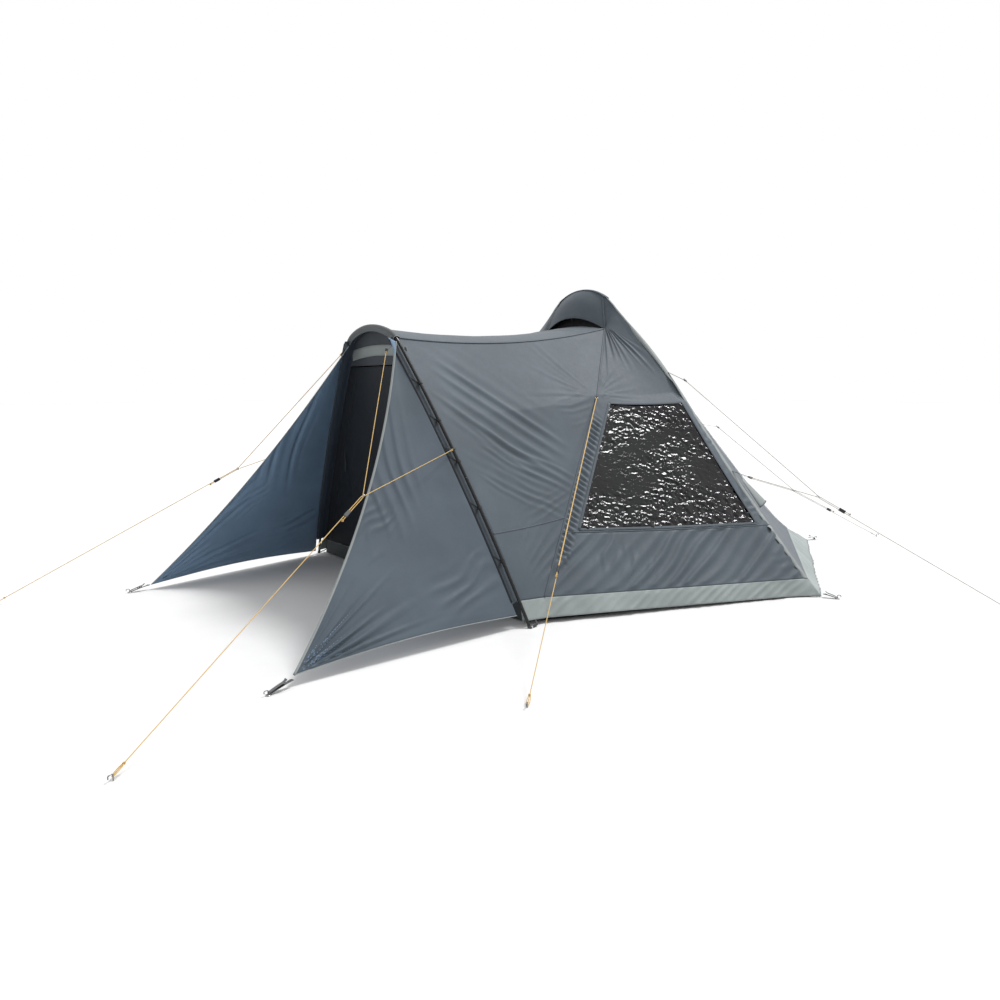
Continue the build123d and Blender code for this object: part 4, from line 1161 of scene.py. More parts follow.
def build_wing(word, side):
    base = wing_base(word, int(190 * DETAIL), int(150 * DETAIL))
    seed = 1400 if side > 0 else 1500
    hold = edge_hold(base.shape, 5)
    hold[:5] = np.maximum(hold[:5], 0.35 * smooth(np.arange(base.shape[1]) / 8)[None])
    grid = raised(base, wing_wrinkles(base, seed) * hold)
    cloth = grid_mesh(f"wing_cloth_{word}", mirror(grid, side), CLOTH_THICK, wing_out, wing_inner_painted_glow)
    put(cloth, "wing_fabric", f"wing_{word}")
    # bound edges: a folded light tape down the front edge and along the hem
    real = grid * arr(side, 1, 1)
    for part, line, width in (("front", real[:, 0], 0.0085), ("hem", real[0], 0.0050)):
        line = resample(line, 160)
        tube(f"wing_{part}_binding_{word}", line, width, tape_cloth, "wing_fabric", 10,
             (1.0, 0.45))
    declare(base)
    # the seam where the wing joins the porch wall, in the near-black door cloth and its painted shade
    seam = pole_edge(np.linspace(0.17, 1.87, 90), 0.0200, 0.049) * arr(side, 1, 1)
    seam = resample(seam, 120)
    facing = unit(arr(0.9 * side, -0.4, 0.3))
    tape(f"wing_seam_{word}", seam, facing, 0.013, TRIM_THICK, door_cloth_and_painted_shade, "wing_fabric", 0.001,
         0.0015)


# ---- seams and tapes over the panels ----
def build_room_seams(side_grids, roof_grid, rear_side_grids):
    for word, side in SIDES.items():
        flip = arr(side, 1, 1)
        edge = side_grids[word]
        # light tape folded over the inflated arch's edge
        front = edge[:, -1]
        inward = edge[:, -4] - edge[:, -1]
        rear = rear_side_grids[word][:, 3] - rear_side_grids[word][:, 0]
        line = resample(front, 260)
        inward = unit(sample_along(inward, 260))
        rear = unit(sample_along(rear, 260))
        out = -unit(inward + rear)
        shares = [(inward, 0.036, 0.0006), (inward, 0.018, 0.0026), (out, 0.0036, 0.0),
                  (rear, 0.010, 0.0022), (rear, 0.020, 0.0006)]
        # the tape is narrower towards the crown
        narrow = 1 - 0.6 * smooth((line[:, 2:] - 1.95) / 0.25)
        columns = []
        for direction, reach, off in shares:
            columns.append(line + direction * reach * narrow + out * off)
        piece = grid_mesh(f"arch_tape_{word}", mirror(np.stack(columns, axis=1), side),
                          TRIM_THICK, tape_cloth)
        put(piece, "skirt_fabric")
        # seam from the hood corner past the side tab to the pole foot
        seam = resample(edge[:, 0], 200)
        facing = unit(SIDE_NORMAL + arr(0.1, -0.2, 0.1)) * flip
        tape(f"porch_seam_{word}", seam * flip, facing, 0.014, TRIM_THICK, seam_cloth,
             "fly_fabric", 0.0012, 0.0016)
        # roof seam
        column = 0 if side < 0 else -1
        seam = resample(roof_grid[:, column], 120)
        facing = unit(arr(0.7 * side, 0, 0.75))
        tape(f"roof_seam_{word}", seam, facing, 0.018, TRIM_THICK, seam_cloth, "fly_fabric",
             0.0010, 0.0014)
        # rear ridge seam
        ridge = resample(rear_side_grids[word][:, -1], 160) * flip
        facing = unit(arr(0.8 * side, 0.62, 0.4))
        tape(f"rear_ridge_seam_{word}", ridge, facing, 0.018, 0.0014, seam_cloth, "fly_fabric",
             0.002, 0.003)


def sample_along(values, count):
    """So many values at even steps along a list of them."""
    places = np.linspace(0, len(values) - 1, count)
    return np.stack([np.interp(places, np.arange(len(values)), values[:, k]) for k in range(3)],
                    axis=-1)


def surface_seam(name, grid, row, side, start=0):
    """A sewn ridge along one row of a panel's grid."""
    line = grid[row, start:]
    facing = normals(grid)[row, start:]
    line, facing = sample_along(line, 160), unit(sample_along(facing, 160))
    flip = arr(side, 1, 1)
    tape(name, line * flip, facing * flip, 0.009, 0.0010, seam_cloth, "fly_fabric", 0.0012,
         0.0008)


# ---- doorway ----
def door_point(u, v, lift=0.0):
    return pole_world(u, v, -DOOR_SETBACK + lift)


def door_grid(v_low, v_high, left_inset, right_inset, rows, columns, seed, height=0.003):
    v = np.linspace(v_low, v_high, rows)
    reach = leg_u(np.minimum(v, SHOULDER_END[1]))
    start, end = -reach + left_inset, reach - right_inset
    share = np.linspace(0, 1, columns)
    u = start[:, None] + (end - start)[:, None] * share
    up = np.broadcast_to(v[:, None], u.shape)
    base = door_point(u, up)
    h = slack(u, up, height, seed)
    h += folds(u, up, (-0.5, v_low), 80, v_high - v_low, 1.0, 0.16, height * 1.5, seed + 5, 0.8)
    return base, raised(base, h * edge_hold(base.shape, 4))


def build_door():
    inset = JAMB_OUTER + JAMB_WIDTH
    base, grid = door_grid(DOOR_SILL + 0.004, DOOR_TOP - 0.004, inset + ZIP_GAP, inset + ZIP_GAP,
                           int(140 * DETAIL), int(150 * DETAIL), 1600, 0.004)
    sew("door_leaf_cloth", grid, base, "door_fabric", (door_cloth_and_painted_shade,), "door_leaf",
        body="door")
    for name, line in (("free", grid[:, -1]), ("top", grid[-1]), ("sill", grid[0])):
        line = resample(line, 160) + arr(0, -0.0006, 0)
        tube(f"door_zip_coil_{name}", line, 0.0024, black_plastic, "zip_metal", body="door")
    hinge = resample(grid[:, 0], 120)
    tube("door_hinge_piping", hinge, 0.0028, door_cloth_and_painted_shade, "door_fabric", body="door")
    tie_point = grid[int(len(grid) * 0.55), 2]
    build_tie("door_tie", tie_point + arr(0.01, -0.004, 0), 0.16)


def build_tie(name, top, drop):
    """A tie-back ribbon that hangs from the hinge side of the door."""
    path = resample([top, top + arr(0.012, -0.006, -drop * 0.4), top + arr(0.004, -0.004, -drop)],
                    24)
    tape(name, path, arr(0, -1, 0), 0.012, 0.001, webbing, "door_fabric", body="door")


BAND_HALF = 0.37              # the light band over the opening, along the pole's plane
BAND_RISE = 0.030
BAND_HEIGHTS = (1.746, 1.766, 1.785, 1.805, 1.824)


def build_door_surround():
    for word, side in SIDES.items():
        rows = int(130 * DETAIL)
        v = np.linspace(DOOR_SILL, DOOR_TOP, rows)
        outer = leg_u(v) - JAMB_OUTER + 0.006
        inner = leg_u(v) - JAMB_OUTER - JAMB_WIDTH
        share = np.linspace(0, 1, 16)
        u = inner[:, None] + (outer - inner)[:, None] * share
        up = np.broadcast_to(v[:, None], u.shape)
        base = door_point(u, up)
        h = slack(u, up, 0.003, 1650)
        grid = raised(base, h * edge_hold(base.shape, 3))
        sew(f"door_jamb_cloth_{word}", grid, base, "door_fabric", (door_cloth_and_painted_shade,),
            "door_surround" if side > 0 else None, side)
    # header: dark cloth up to the sleeve, with a light curved band over the opening
    angle = np.linspace(-SHOULDER_ANGLE, SHOULDER_ANGLE, 70)
    top_u, top_v = top_arc(angle)
    share = np.linspace(0, 1, 24)[:, None]
    low_half = float(leg_u(DOOR_TOP + ZIP_GAP)) - JAMB_OUTER
    low_u = np.linspace(-low_half, low_half, 70)
    low_v = np.full(70, DOOR_TOP + ZIP_GAP)
    u = low_u * (1 - share) + top_u * 0.97 * share
    v = low_v * (1 - share) + (top_v - 0.020) * share
    base = door_point(u, v)
    h = slack(u, v, 0.002, 1670)
    grid = raised(base, h * edge_hold(base.shape, 3))
    sew("door_header_cloth", grid, base, "door_fabric", (header_cloth,))
    band_u = np.linspace(-BAND_HALF, BAND_HALF, 90)
    curve = BAND_RISE * (1 - (band_u / BAND_HALF) ** 2)
    band = []
    for low in BAND_HEIGHTS:
        taper = 1 - 0.35 * (low - BAND_HEIGHTS[0])
        band.append(door_point(band_u * taper, low + curve, 0.004))
    piece = grid_mesh("door_header_band", np.stack(band), TRIM_THICK, trim_cloth)
    put(piece, "trim_fabric")


def build_threshold():
    base, grid = door_grid(0.006, DOOR_SILL - ZIP_GAP, JAMB_OUTER + 0.02, JAMB_OUTER + 0.02, 22,
                           int(200 * DETAIL), 1690, 0.0025)
    sew("door_threshold_cloth", grid, base, "skirt_fabric", (sill_cloth_painted_shade,), "door_threshold")
    tube("door_threshold_hem", resample(grid[-1], 120), 0.003, trim_cloth, "skirt_fabric")


# ---- pole sleeve, clips and straps ----
# the sleeve's section from the roof's side round the pole: away from the doorway, forward
SLEEVE_SECTION = ((-0.016, -0.030), (-0.006, -0.034), (0.0035, -0.0320), (0.0115, -0.0180),
                  (0.0155, -0.0060), (0.0165, 0.0040), (0.0140, 0.0120), (0.0080, 0.0165),
                  (0.0, 0.0180), (-0.0080, 0.0170), (-0.0140, 0.0130), (-0.0230, 0.0120),
                  (-0.0330, 0.0115))


def build_sleeve():
    """A light sleeve over the top of the pole, its tail sewn to the roof's front edge."""
    end = POLE_TOP_ANGLE + math.radians(17)
    angle = np.linspace(-end, end, 120)
    u, v = top_arc(angle)
    slope_u, slope_v = np.sin(angle), np.cos(angle)
    ruffle = 0.0006 * line_noise(angle, 0.12, 1720)
    swell = 1 + ruffle / 0.0165
    columns = []
    for up, forward in SLEEVE_SECTION:
        columns.append(pole_world(u + slope_u * up * swell, v + slope_v * up * swell, forward))
    grid = np.stack(columns, axis=1)
    sleeve = grid_mesh("pole_sleeve_cloth", grid[:, ::-1], TRIM_THICK, sleeve_cloth)
    put(sleeve, "trim_fabric", "pole_sleeve")
    declare(grid)
    # the strip that joins the sleeve to the roof
    share = np.linspace(-1, 1, 120)
    roof_front = np.stack([ROOF_START[0] * share, np.full(120, ROOF_START[1]),
                           ROOF_START[2] + ROOF_CROWN[0] * (1 - share ** 2)], axis=-1)
    sleeve_back = grid[:, 1]
    middle = (roof_front + sleeve_back) / 2 + arr(0, 0, 0.004)
    strip = np.stack([sleeve_back, middle, roof_front + arr(0, 0.020, 0.004)], axis=0)
    join = grid_mesh("roof_front_strip", strip, TRIM_THICK, fly)
    put(join, "fly_fabric")
    for word, side in SIDES.items():
        ring = grid[-1 if side > 0 else 0]
        tube(f"pole_sleeve_hem_{word}", resample(ring, 40), 0.0022, tape_cloth, "trim_fabric")


def build_clip_straps():
    """A short webbing V from each pole clip to the wing seam."""
    for word, side in SIDES.items():
        for number, v in enumerate(CLIP_HEIGHTS):
            clip = pole_world(leg_u(v) - POLE_RADIUS - 0.006, v, 0.004)
            for part, drop in (("up", 0.045), ("down", -0.045)):
                seam = pole_world(leg_u(v + drop) - 0.0215, v + drop, 0.047)
                path = resample([clip, (clip + seam) / 2, seam], 14) * arr(side, 1, 1)
                facing = unit(arr(0.8 * side, -0.5, 0.1))
                tape(f"clip_strap_{part}_{word}_{number}", path, facing, 0.010, WEBBING_THICK,
                     webbing, "webbing")


STRAPS = {"wing": ((1.192, -3.608, 0.040), (1.208, -3.752, 0.006)),
          "arch": ((2.392, 0.006, 0.026), (2.484, 0.042, 0.006)),
          "rear": ((1.458, 1.872, 0.026), (1.492, 1.944, 0.006))}


def build_corner_straps():
    """Peg straps: a doubled webbing through the ladder lock and round the ring."""
    first = True
    for word, side in SIDES.items():
        flip = arr(side, 1, 1)
        for corner, (start, ring) in STRAPS.items():
            start, ring = arr(*start) * flip, arr(*ring) * flip
            run = unit(ring - start)
            flat = unit(np.cross(run, arr(0, 0, 1)))
            up = np.cross(flat, run)
            reach = float(np.linalg.norm(ring - start))
            t = np.linspace(0, 1, 40)
            body = start + run * (t * (reach - 0.012))[:, None]
            body = body + up * (0.003 * np.sin(t * math.pi))[:, None]
            loop_turn = np.linspace(-0.5, 0.5, 14) * math.pi
            bend = body[-1] + run * (0.0045 * np.cos(loop_turn))[:, None] \
                + up * (0.0045 * (1 + np.sin(loop_turn)))[:, None]
            back = body[::-1][3:22] + up * 0.009 * np.linspace(1.0, 1.3, 19)[:, None]
            tail = back[-1] + (-run) * np.linspace(0.006, 0.030, 6)[:, None] \
                + up * (0.010 * np.linspace(0, 1, 6) ** 2)[:, None]
            path = np.concatenate([body, bend, back, tail])
            path[:, 2] = np.maximum(path[:, 2], 0.0025)
            path = resample(path, 110)
            ahead = unit(np.gradient(path, axis=0))
            facing = np.cross(np.broadcast_to(flat, path.shape), ahead)
            strap = ribbon(f"corner_strap_{corner}_{word}", path, -facing, 0.022,
                           WEBBING_THICK, strap_grey)
            put(strap, "webbing", *(["webbing_straps"] if first else []))
            first = False
            stitch_box(f"corner_strap_stitch_{corner}_{word}", start + up * 0.0052 + run * 0.02,
                       run, flat, up)
        foot = [(POLE_HALF_SPAN - 0.030, ENTRY_Y + 0.075, 0.042),
                (POLE_HALF_SPAN + 0.004, ENTRY_Y + 0.060, 0.016),
                (POLE_HALF_SPAN + 0.006, ENTRY_Y + 0.020, 0.006)]
        path = resample(foot, 30) * flip
        tape(f"foot_strap_{word}", path, unit(arr(0.7 * side, 0, 0.7)), 0.016, WEBBING_THICK,
             webbing, "webbing")


def stitch_box(name, centre, run, flat, up):
    """The box of stitches that holds a strap, as one raised thread."""
    corners = [(-1, -1), (1, -1), (1, 1), (-1, 1), (-1, -1), (1, 1)]
    path = [centre + run * 0.009 * a + flat * 0.007 * b + up * 0.0006 for a, b in corners]
    tube(name, resample(path, 60), 0.0006, thread, "webbing", 6)


# ---- things inside ----
BEAM_RINGS = 320
BEAM_SPOKES = 28
BEAM_LENGTH = 7.0            # about, for the weave and the puckers


def build_beam():
    """The inflated arch in its sewn sleeve, with a zip line and end caps."""
    radius = CROWN_RADIUS - BEAM_INSET
    tangent = arr(radius * math.sin(ARCH_SLOPE), 0, CROWN_CENTRE + radius * math.cos(ARCH_SLOPE))
    down = arr(math.cos(ARCH_SLOPE), 0, -math.sin(ARCH_SLOPE))
    low = BEAM_RADIUS * math.cos(ARCH_SLOPE) + 0.006
    leg_length = (tangent[2] - low) / math.sin(ARCH_SLOPE)
    leg = tangent + down * np.linspace(leg_length, 0, 120)[:, None]
    leg = leg + bow(leg[:, 2], size=ARCH_BOW * 0.7)
    turn = np.linspace(ARCH_SLOPE, -ARCH_SLOPE, 60)[1:-1]
    top = np.stack([radius * np.sin(turn), 0 * turn, CROWN_CENTRE + radius * np.cos(turn)], axis=-1)
    path = np.concatenate([leg, top, leg[::-1] * arr(-1, 1, 1)])
    path = resample(path, BEAM_RINGS)
    along = np.linspace(0, BEAM_LENGTH, BEAM_RINGS)
    puckers = 0.0006 * np.sin(along * 90) + 0.0010 * line_noise(along, 0.12, 1710)
    order = np.arange(BEAM_RINGS)
    ends = np.clip(np.minimum(order, order[::-1]) / 5, 0, 1)
    radii = (BEAM_RADIUS - 0.002 + puckers) * np.sqrt(1 - (1 - ends) ** 2 * 0.75)
    beam = tube_mesh("air_beam_sleeve", path, radii, beam_cloth, BEAM_SPOKES)
    lay_tube_map(beam, BEAM_RINGS, BEAM_SPOKES, BEAM_RADIUS, BEAM_LENGTH)
    put(beam, "beam_skin", "main_air_beam")
    zip_line = path[8:-8] + arr(0, -BEAM_RADIUS + 0.001, 0)
    tube("air_beam_zip", zip_line, 0.0035, black_plastic, "beam_skin", 8, (1.4, 0.7))


def lay_tube_map(piece, rings, sides, radius, length):
    """UV in metres for a tube: round it and along it."""
    mesh = piece.data
    loops = np.empty(len(mesh.loops), np.int32)
    mesh.loops.foreach_get("vertex_index", loops)
    ring, spoke = loops // sides, loops % sides
    uv = np.stack([spoke / sides * 2 * math.pi * radius, ring / rings * length], axis=1)
    mesh.uv_layers.new(name="cloth").data.foreach_set("uv", uv.astype(np.float32).ravel())


def build_groundsheet():
    low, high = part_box("groundsheet")
    front, back = low[1], high[1]
    rows, columns = int(110 * DETAIL), int(110 * DETAIL)
    v = np.linspace(0, 1, rows)
    y = front + (back - front) * v
    half = np.interp(y, [front, 0.0, back], [1.290, high[0], 1.370])
    u = np.linspace(-1, 1, columns)
    base = np.stack([half[:, None] * u, np.broadcast_to(y[:, None], (rows, columns)),
                     np.full((rows, columns), 0.0022)], axis=-1)
    p, q = base[..., 0], base[..., 1]
    h = 0.004 * (1 + noise(p, q, 0.4, 1800)) / 2 + 0.002 * (1 + noise(p, q, 0.13, 1801)) / 2
    grid = base.copy()
    grid[..., 2] += h * edge_hold(base.shape, 3)
    sheet = grid_mesh("groundsheet_cloth", grid, TRIM_THICK, floor_cloth)
    put(sheet, "groundsheet", "groundsheet")
    declare(base)
    rim = np.concatenate([base[:, -1], base[-1][::-1][1:], base[:, 0][::-1][1:],
                          base[0][1:]])
    rim = resample(rim, 300) * arr(0.992, 0.992, 1)
    walls = np.stack([rim + arr(0, 0, 0.002), rim * arr(0.999, 0.999, 1) + arr(0, 0, 0.035),
                      rim * arr(0.996, 0.996, 1) + arr(0, 0, 0.065)], axis=0)
    put(grid_mesh("groundsheet_rim", walls, TRIM_THICK, floor_cloth), "groundsheet")


# a cowl's upper and lower edge on the rear side panel, each from the arch to the back
COWL_TOP = ((1.665, 0.060, 0.790), (1.565, 0.240, 0.790))
COWL_LOW = ((1.823, 0.060, 0.590), (1.708, 0.285, 0.590))


def build_low_vents():
    """Curved, stiffened cowls low on the rear side panels."""
    out = unit(arr(0.72, 0.34, 0.60))
    v, u = np.linspace(0, 1, 24), np.linspace(0, 1, 30)
    low, top = mix(*COWL_LOW, u), mix(*COWL_TOP, u)
    flat = mix(low[None], top[None], np.broadcast_to(v[:, None], (24, 30)))
    lift = 0.055 * (1 - v)[:, None] ** 0.8 * np.sin(math.pi * u) ** 0.6 + 0.012
    grid = flat + lift[..., None] * out
    for word, side in SIDES.items():
        cowl = grid_mesh(f"low_vent_cowl_{word}", mirror(grid, side), 0.0018, trim_cloth,
                         fly_inside_painted_glow)
        put(cowl, "trim_fabric", *(["low_vent_hoods"] if side > 0 else []))
        declare(grid)
        lip = grid[0] * arr(side, 1, 1)
        tube(f"low_vent_lip_{word}", lip, 0.004, seam_cloth, "trim_fabric")


# ---- guy lines: the frame's own routes, right-hand side ----
RUN_IN = 0.030               # a control point this far from each ring keeps the run straight
GUYS = {
    "front": {"cord": 2.118, "tail": (0.9959, -3.1728, 0.7966), "ring_a": (0.9224, -2.9858, 0.9044),
              "ring_b": (0.9167, -2.9919, 0.9112), "peg": (1.5246, -4.5365, 0.0212),
              "bridle": 2.021, "tabs": ((0.818, -2.224, 1.130), (0.300, -2.390, 1.785)),
              "bend": (0.9208, -2.9906, 0.9052)},
    "side": {"cord": 4.912, "tail": (1.7741, -2.2336, 0.458), "ring_a": (0.8277, -0.7627, 1.4544),
             "ring_b": (0.8248, -0.7582, 1.445), "peg": (2.1848, -2.8719, 0.0133)},
    "arch": {"cord": 1.781, "tail": (2.5042, 0.0949, 0.6283), "ring_a": (2.2965, 0.0414, 0.7425),
             "ring_b": (2.2915, 0.0407, 0.7330), "peg": (3.6006, 0.3779, 0.0130),
             "bridle": 1.967, "tabs": ((1.134, 0.016, 1.592), (1.765, 0.016, 0.835)),
             "bend": (2.3083, 0.0387, 0.7332)},
    "rear": {"cord": 1.609, "tail": (1.5903, 2.1117, 0.2819), "ring_a": (1.3437, 1.7255, 0.5127),
             "ring_b": (1.3408, 1.7216, 0.5031), "peg": (1.8647, 2.5420, 0.0128),
             "bridle": 1.513, "tabs": ((0.848, 1.064, 1.150), (1.065, 1.352, 0.640)),
             "bend": (1.3536, 1.7370, 0.4990)},
}


def spline(name, points, diameter, material):
    curve = bpy.data.curves.new(name, "CURVE")
    curve.dimensions = "3D"
    curve.bevel_depth = diameter / 2
    curve.bevel_resolution = 3
    curve.resolution_u = 10
    curve.use_fill_caps = True
    line = curve.splines.new("NURBS")
    line.points.add(len(points) - 1)
    for place, point in zip(line.points, points):
        place.co = (*[float(c) for c in point], 1.0)
    line.order_u = 3
    line.use_endpoint_u = True
    curve.materials.append(material)
    piece = bpy.data.objects.new(name, curve)
    bpy.context.scene.collection.objects.link(piece)
    return piece


def step_from(corner, towards, distance=RUN_IN):
    corner, towards = arr(*corner), arr(*towards)
    return corner + unit(towards - corner) * distance


def knot(name, centre, ahead, size, material):
    """An overhand knot: a trefoil of the same cord pulled tight round its own line."""
    t = np.linspace(0, 2 * math.pi, 60, endpoint=False)
    side = unit(np.cross(ahead, arr(0.1, 0.2, 1.0)))
    up = np.cross(ahead, side)
    x = (np.sin(t) + 2 * np.sin(2 * t)) / 3
    y = (np.cos(t) - 2 * np.cos(2 * t)) / 3
    z = -np.sin(3 * t) * 0.75
    path = arr(*centre) + (x[:, None] * side + y[:, None] * up + z[:, None] * ahead) * size
    path = np.concatenate([path, path[:1]])
    return tube(name, path, CORD_DIAMETER * 0.42, material, "guy_cord")


def build_guys():
    for word, side in SIDES.items():
        flip = arr(side, 1, 1)
        for name, guy in GUYS.items():
            colour = amber_cord if name in ("front", "side") else pale_cord
            peg, ring_a, ring_b, tail = [arr(*guy[k]) * flip
                                         for k in ("peg", "ring_a", "ring_b", "tail")]
            route = [peg, step_from(peg, ring_b), step_from(ring_b, peg), ring_b, ring_a,
                     step_from(ring_a, tail), step_from(tail, ring_a), tail]
            line = spline(f"{name}_guy_cord_{word}", route, CORD_DIAMETER, colour)
            put(line, "guy_cord", f"{name}_guy_{word}")
            end = knot(f"{name}_guy_knot_{word}", tail, unit(tail - ring_a), 0.0060, colour)
            pull = unit(ring_b - peg)
            knot(f"{name}_peg_knot_{word}", peg + pull * 0.055, pull, 0.0058, colour)
            build_peg_loop(f"{name}_peg_loop_{word}", peg, pull, colour)
            if "bridle" in guy:
                build_bridle(name, word, guy, flip, colour)


def build_peg_loop(name, peg, pull, colour):
    """The eye that the line is tied into, round the peg's hook."""
    side = unit(np.cross(pull, arr(0, 0, 1)))
    t = np.linspace(0, 2 * math.pi, 40)
    path = (peg + pull * 0.022)[None] + pull * (0.030 * np.cos(t))[:, None] \
        + side * (0.0085 * np.sin(t))[:, None]
    path[:, 2] = np.maximum(path[:, 2], 0.004)
    tube(name, path, CORD_DIAMETER * 0.4, colour, "guy_cord")


def build_bridle(name, word, guy, flip, colour):
    first, second = [arr(*tab) * flip for tab in guy["tabs"]]
    bend = arr(*guy["bend"]) * flip
    route = [first, step_from(first, bend), step_from(bend, first), bend,
             step_from(bend, second), step_from(second, bend), second]
    line = spline(f"{name}_bridle_cord_{word}", route, CORD_DIAMETER, colour)
    put(line, "guy_cord", f"{name}_bridle_{word}")
    for number, tab in enumerate((first, second)):
        ahead = unit(bend - tab)
        knot(f"{name}_bridle_knot_{number}_{word}", tab + ahead * 0.012, ahead,
                         0.0065, colour)
        build_tab(f"{name}_tab_{number}_{word}", tab, ahead)
        build_anchor(f"{name}_anchor_{number}_{word}", ANCHORS[name][number] * flip, tab)


# where each bridle's webbing is sewn in: pole seam and wing head, arch seam, rear ridge
ANCHORS = {"front": (pole_edge(1.150, 0.020, 0.040), arr(*WING_HEAD)),
           "arch": tuple(arch_leg(z) + bow(z) for z in arr(1.630, 0.870)),
           "rear": tuple(rear_ridge(z) for z in (1.180, 0.670))}


def build_anchor(name, root, tab):
    """The webbing between the seam and a bridle's tab."""
    run = unit(tab - root)
    facing = np.cross(run, unit(np.cross(run, arr(0, 0, 1))))
    path = resample([root, tab - run * 0.004], 20)
    tape(name, path, facing, TAB_WIDTH, TAB_THICK, webbing, "webbing")


def build_tab(name, tab, ahead):
    """A short webbing loop that a cord or a ring holds to."""
    root = tab - ahead * 0.022
    side = unit(np.cross(ahead, arr(0, 0, 1)))
    up = np.cross(side, ahead)
    t = np.linspace(-0.5, 0.5, 16) * math.pi
    nose = tab + ahead * (0.006 * np.cos(t))[:, None] + up * (0.004 * np.sin(t))[:, None]
    path = np.concatenate([[root - up * 0.003], nose, [root + up * 0.003]])
    path = resample(path, 40)
    ahead_path = unit(np.gradient(path, axis=0))
    facing = np.cross(ahead_path, side)
    tape(name, path, facing, TAB_WIDTH, TAB_THICK, webbing, "webbing")


def build_side_tabs():
    """The side guys hold straight to their rings: a tab loops each ring to the seam."""
    for word, side in SIDES.items():
        flip = arr(side, 1, 1)
        ring = arr(*SIDE_RING) * flip
        seam = arr(*SIDE_TAB) * flip
        ahead = unit(ring - seam)
        build_tab(f"side_tab_{word}", ring - ahead * 0.002, ahead)


# ---- materials on the frame's own parts ----
def dress_frame():
    plan = {pole_coat: ["pole_top", "pole_leg_right", "pole_leg_left"],
            plated: ["pole_ferrules", "metal_rings"],
            peg_plated: ["ground_pegs"],
            black_plastic: ["pole_clips", "valve_body", "zip_slider", "ladder_locks"],
            grey_plastic: ["pole_tips", "valve_cap"]}
    for made, names in plan.items():
        for name in names:
            wear(name, made)
    for word in SIDES:
        for guy in GUYS:
            wear(f"{guy}_runner_{word}", black_plastic)


def wear(name, made):
    mesh = nodes[name].data
    mesh.materials.clear()
    mesh.materials.append(made)


def build_peg_details():
    """A turn of thin wire round each corner strap's end, at the peg."""
    for word, side in SIDES.items():
        for corner, (_, ring) in STRAPS.items():
            centre = arr(*ring) * arr(side, 1, 1)
            turn = np.linspace(0, 2 * math.pi, 40)
            path = np.stack([centre[0] + 0.0045 * np.cos(turn), centre[1] + 0.0045 * np.sin(turn),
                             np.linspace(0.006, 0.010, 40)], axis=-1)
            tube(f"peg_wrap_{corner}_{word}", path, 0.0011, peg_plated, "peg_steel", 6)


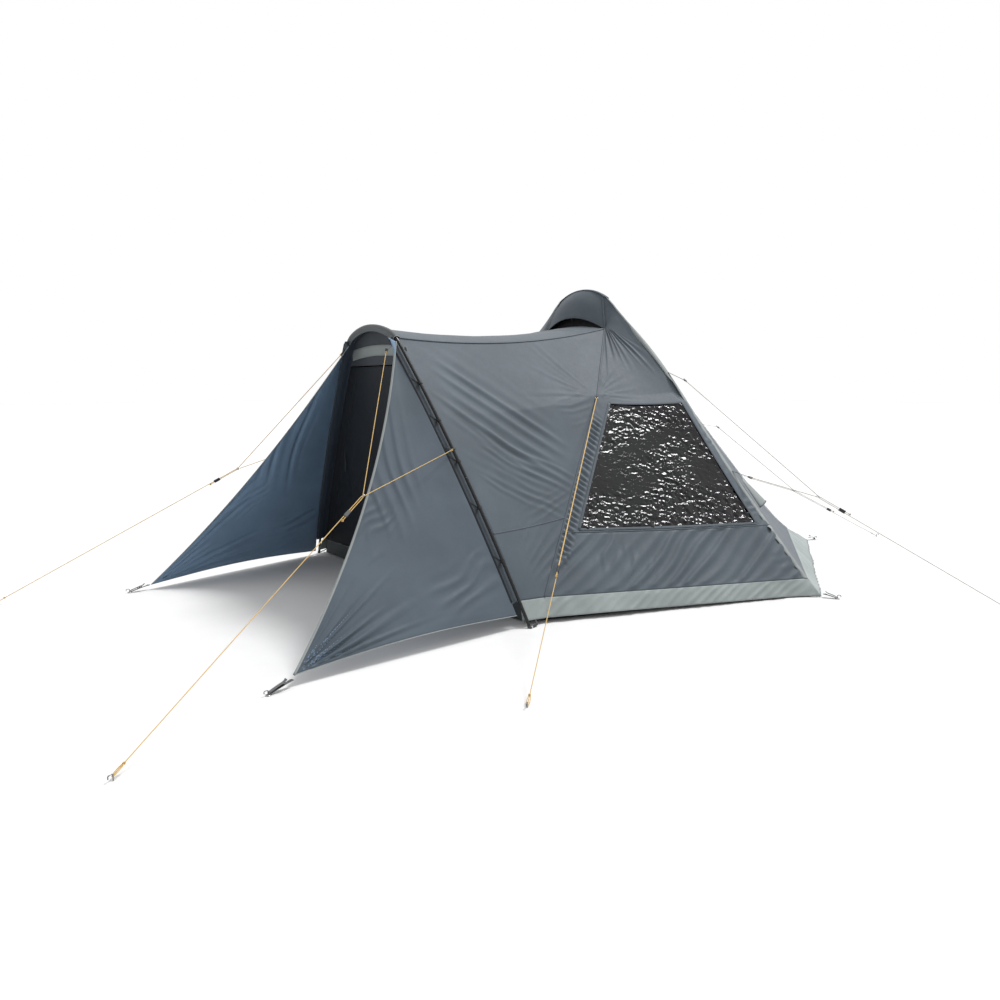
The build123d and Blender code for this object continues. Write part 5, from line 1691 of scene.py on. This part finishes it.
# ---- floor, light and camera ----
def build_stage():
    floor, tree, shader = material("studio_floor")
    place = object_map(tree)
    link(tree, ramp(tree, cloud(tree, place, 3.0), (0.69, 0.69, 0.69), (0.72, 0.72, 0.72)),
         shader.inputs["Base Color"])
    shader.inputs["Roughness"].default_value = 0.9
    shader.inputs["Specular IOR Level"].default_value = 0.0
    half = 60.0
    corners = [(-half, -half, 0), (half, -half, 0), (half, half, 0), (-half, half, 0)]
    ground = new_object("studio_floor", corners, [(0, 1, 2, 3)], [floor])

    world = bpy.data.worlds.new("studio")
    world.use_nodes = True
    world.node_tree.nodes["Background"].inputs["Color"].default_value = (1, 1, 1, 1)
    sky = world.node_tree
    way = add(sky, "ShaderNodeTexCoord").outputs["Generated"]
    facing = add(sky, "ShaderNodeVectorMath", operation="DOT_PRODUCT")
    facing.inputs[1].default_value = (0.5, -0.8, -0.1)
    link(sky, way, facing.inputs[0])
    fade = add(sky, "ShaderNodeMapRange", interpolation_type="SMOOTHSTEP")
    fade.inputs["From Max"].default_value = 0.9
    fade.inputs["To Min"].default_value = 1.0
    fade.inputs["To Max"].default_value = 0.42
    link(sky, facing.outputs["Value"], fade.inputs["Value"])
    link(sky, fade.outputs["Result"], sky.nodes["Background"].inputs["Strength"])
    bpy.context.scene.world = world
    bpy.context.scene.view_settings.view_transform = "Standard"

    key = bpy.data.lights.new("key", "SUN")
    key.energy = 2.5
    key.angle = math.radians(14)
    lamp = bpy.data.objects.new("key", key)
    bpy.context.scene.collection.objects.link(lamp)
    towards = np.array([0.10, 0.47, 0.88])
    pitch = math.acos(towards[2] / np.linalg.norm(towards))
    lamp.rotation_euler = (pitch, 0.0, math.atan2(towards[1], towards[0]) + math.pi / 2)


def build_camera():
    data = bpy.data.cameras.new("camera")
    data.lens = 25.123
    data.sensor_width = 36.0
    camera = bpy.data.objects.new("camera", data)
    camera.location = (4.453, -5.137, 1.550)
    camera.rotation_euler = (math.radians(90 - 9.31), 0.0, math.radians(47.45))
    bpy.context.scene.collection.objects.link(camera)
    bpy.context.scene.camera = camera


# ---- the tent ----
build_camera()
build_stage()
build_guys()
side_grids, side_bases = {}, {}
for word, side in SIDES.items():
    side_grids[word], side_bases[word] = build_side(word, side)
porch_grids = {word: build_extension(word, side) for word, side in SIDES.items()}
roof_grid = build_roof()
build_hood()
build_vent_mesh()
for word, side in SIDES.items():
    porch = porch_grids[word]
    seam_row = int(np.argmin(np.abs(porch[:, -1, 2] - WALL_SEAM_HEIGHT)))
    surface_seam(f"porch_wall_seam_{word}", porch, seam_row, side, start=6)
    room = side_grids[word]
    window_low = int(np.argmin(np.abs(side_steps()[1] - WINDOW_SEAM_ROW)))
    surface_seam(f"window_low_seam_{word}", room, window_low, side)
rear_side_grids = {word: build_rear_side(word, side) for word, side in SIDES.items()}
rear_grid = build_rear()
build_crown_strip()
build_skirts(side_grids, rear_side_grids, rear_grid)
for word, side in SIDES.items():
    build_wing(word, side)
build_room_seams(side_grids, roof_grid, rear_side_grids)
build_door()
build_door_surround()
build_threshold()
build_sleeve()
build_clip_straps()
build_corner_straps()
build_beam()
build_groundsheet()
build_low_vents()
build_side_tabs()
dress_frame()
build_peg_details()
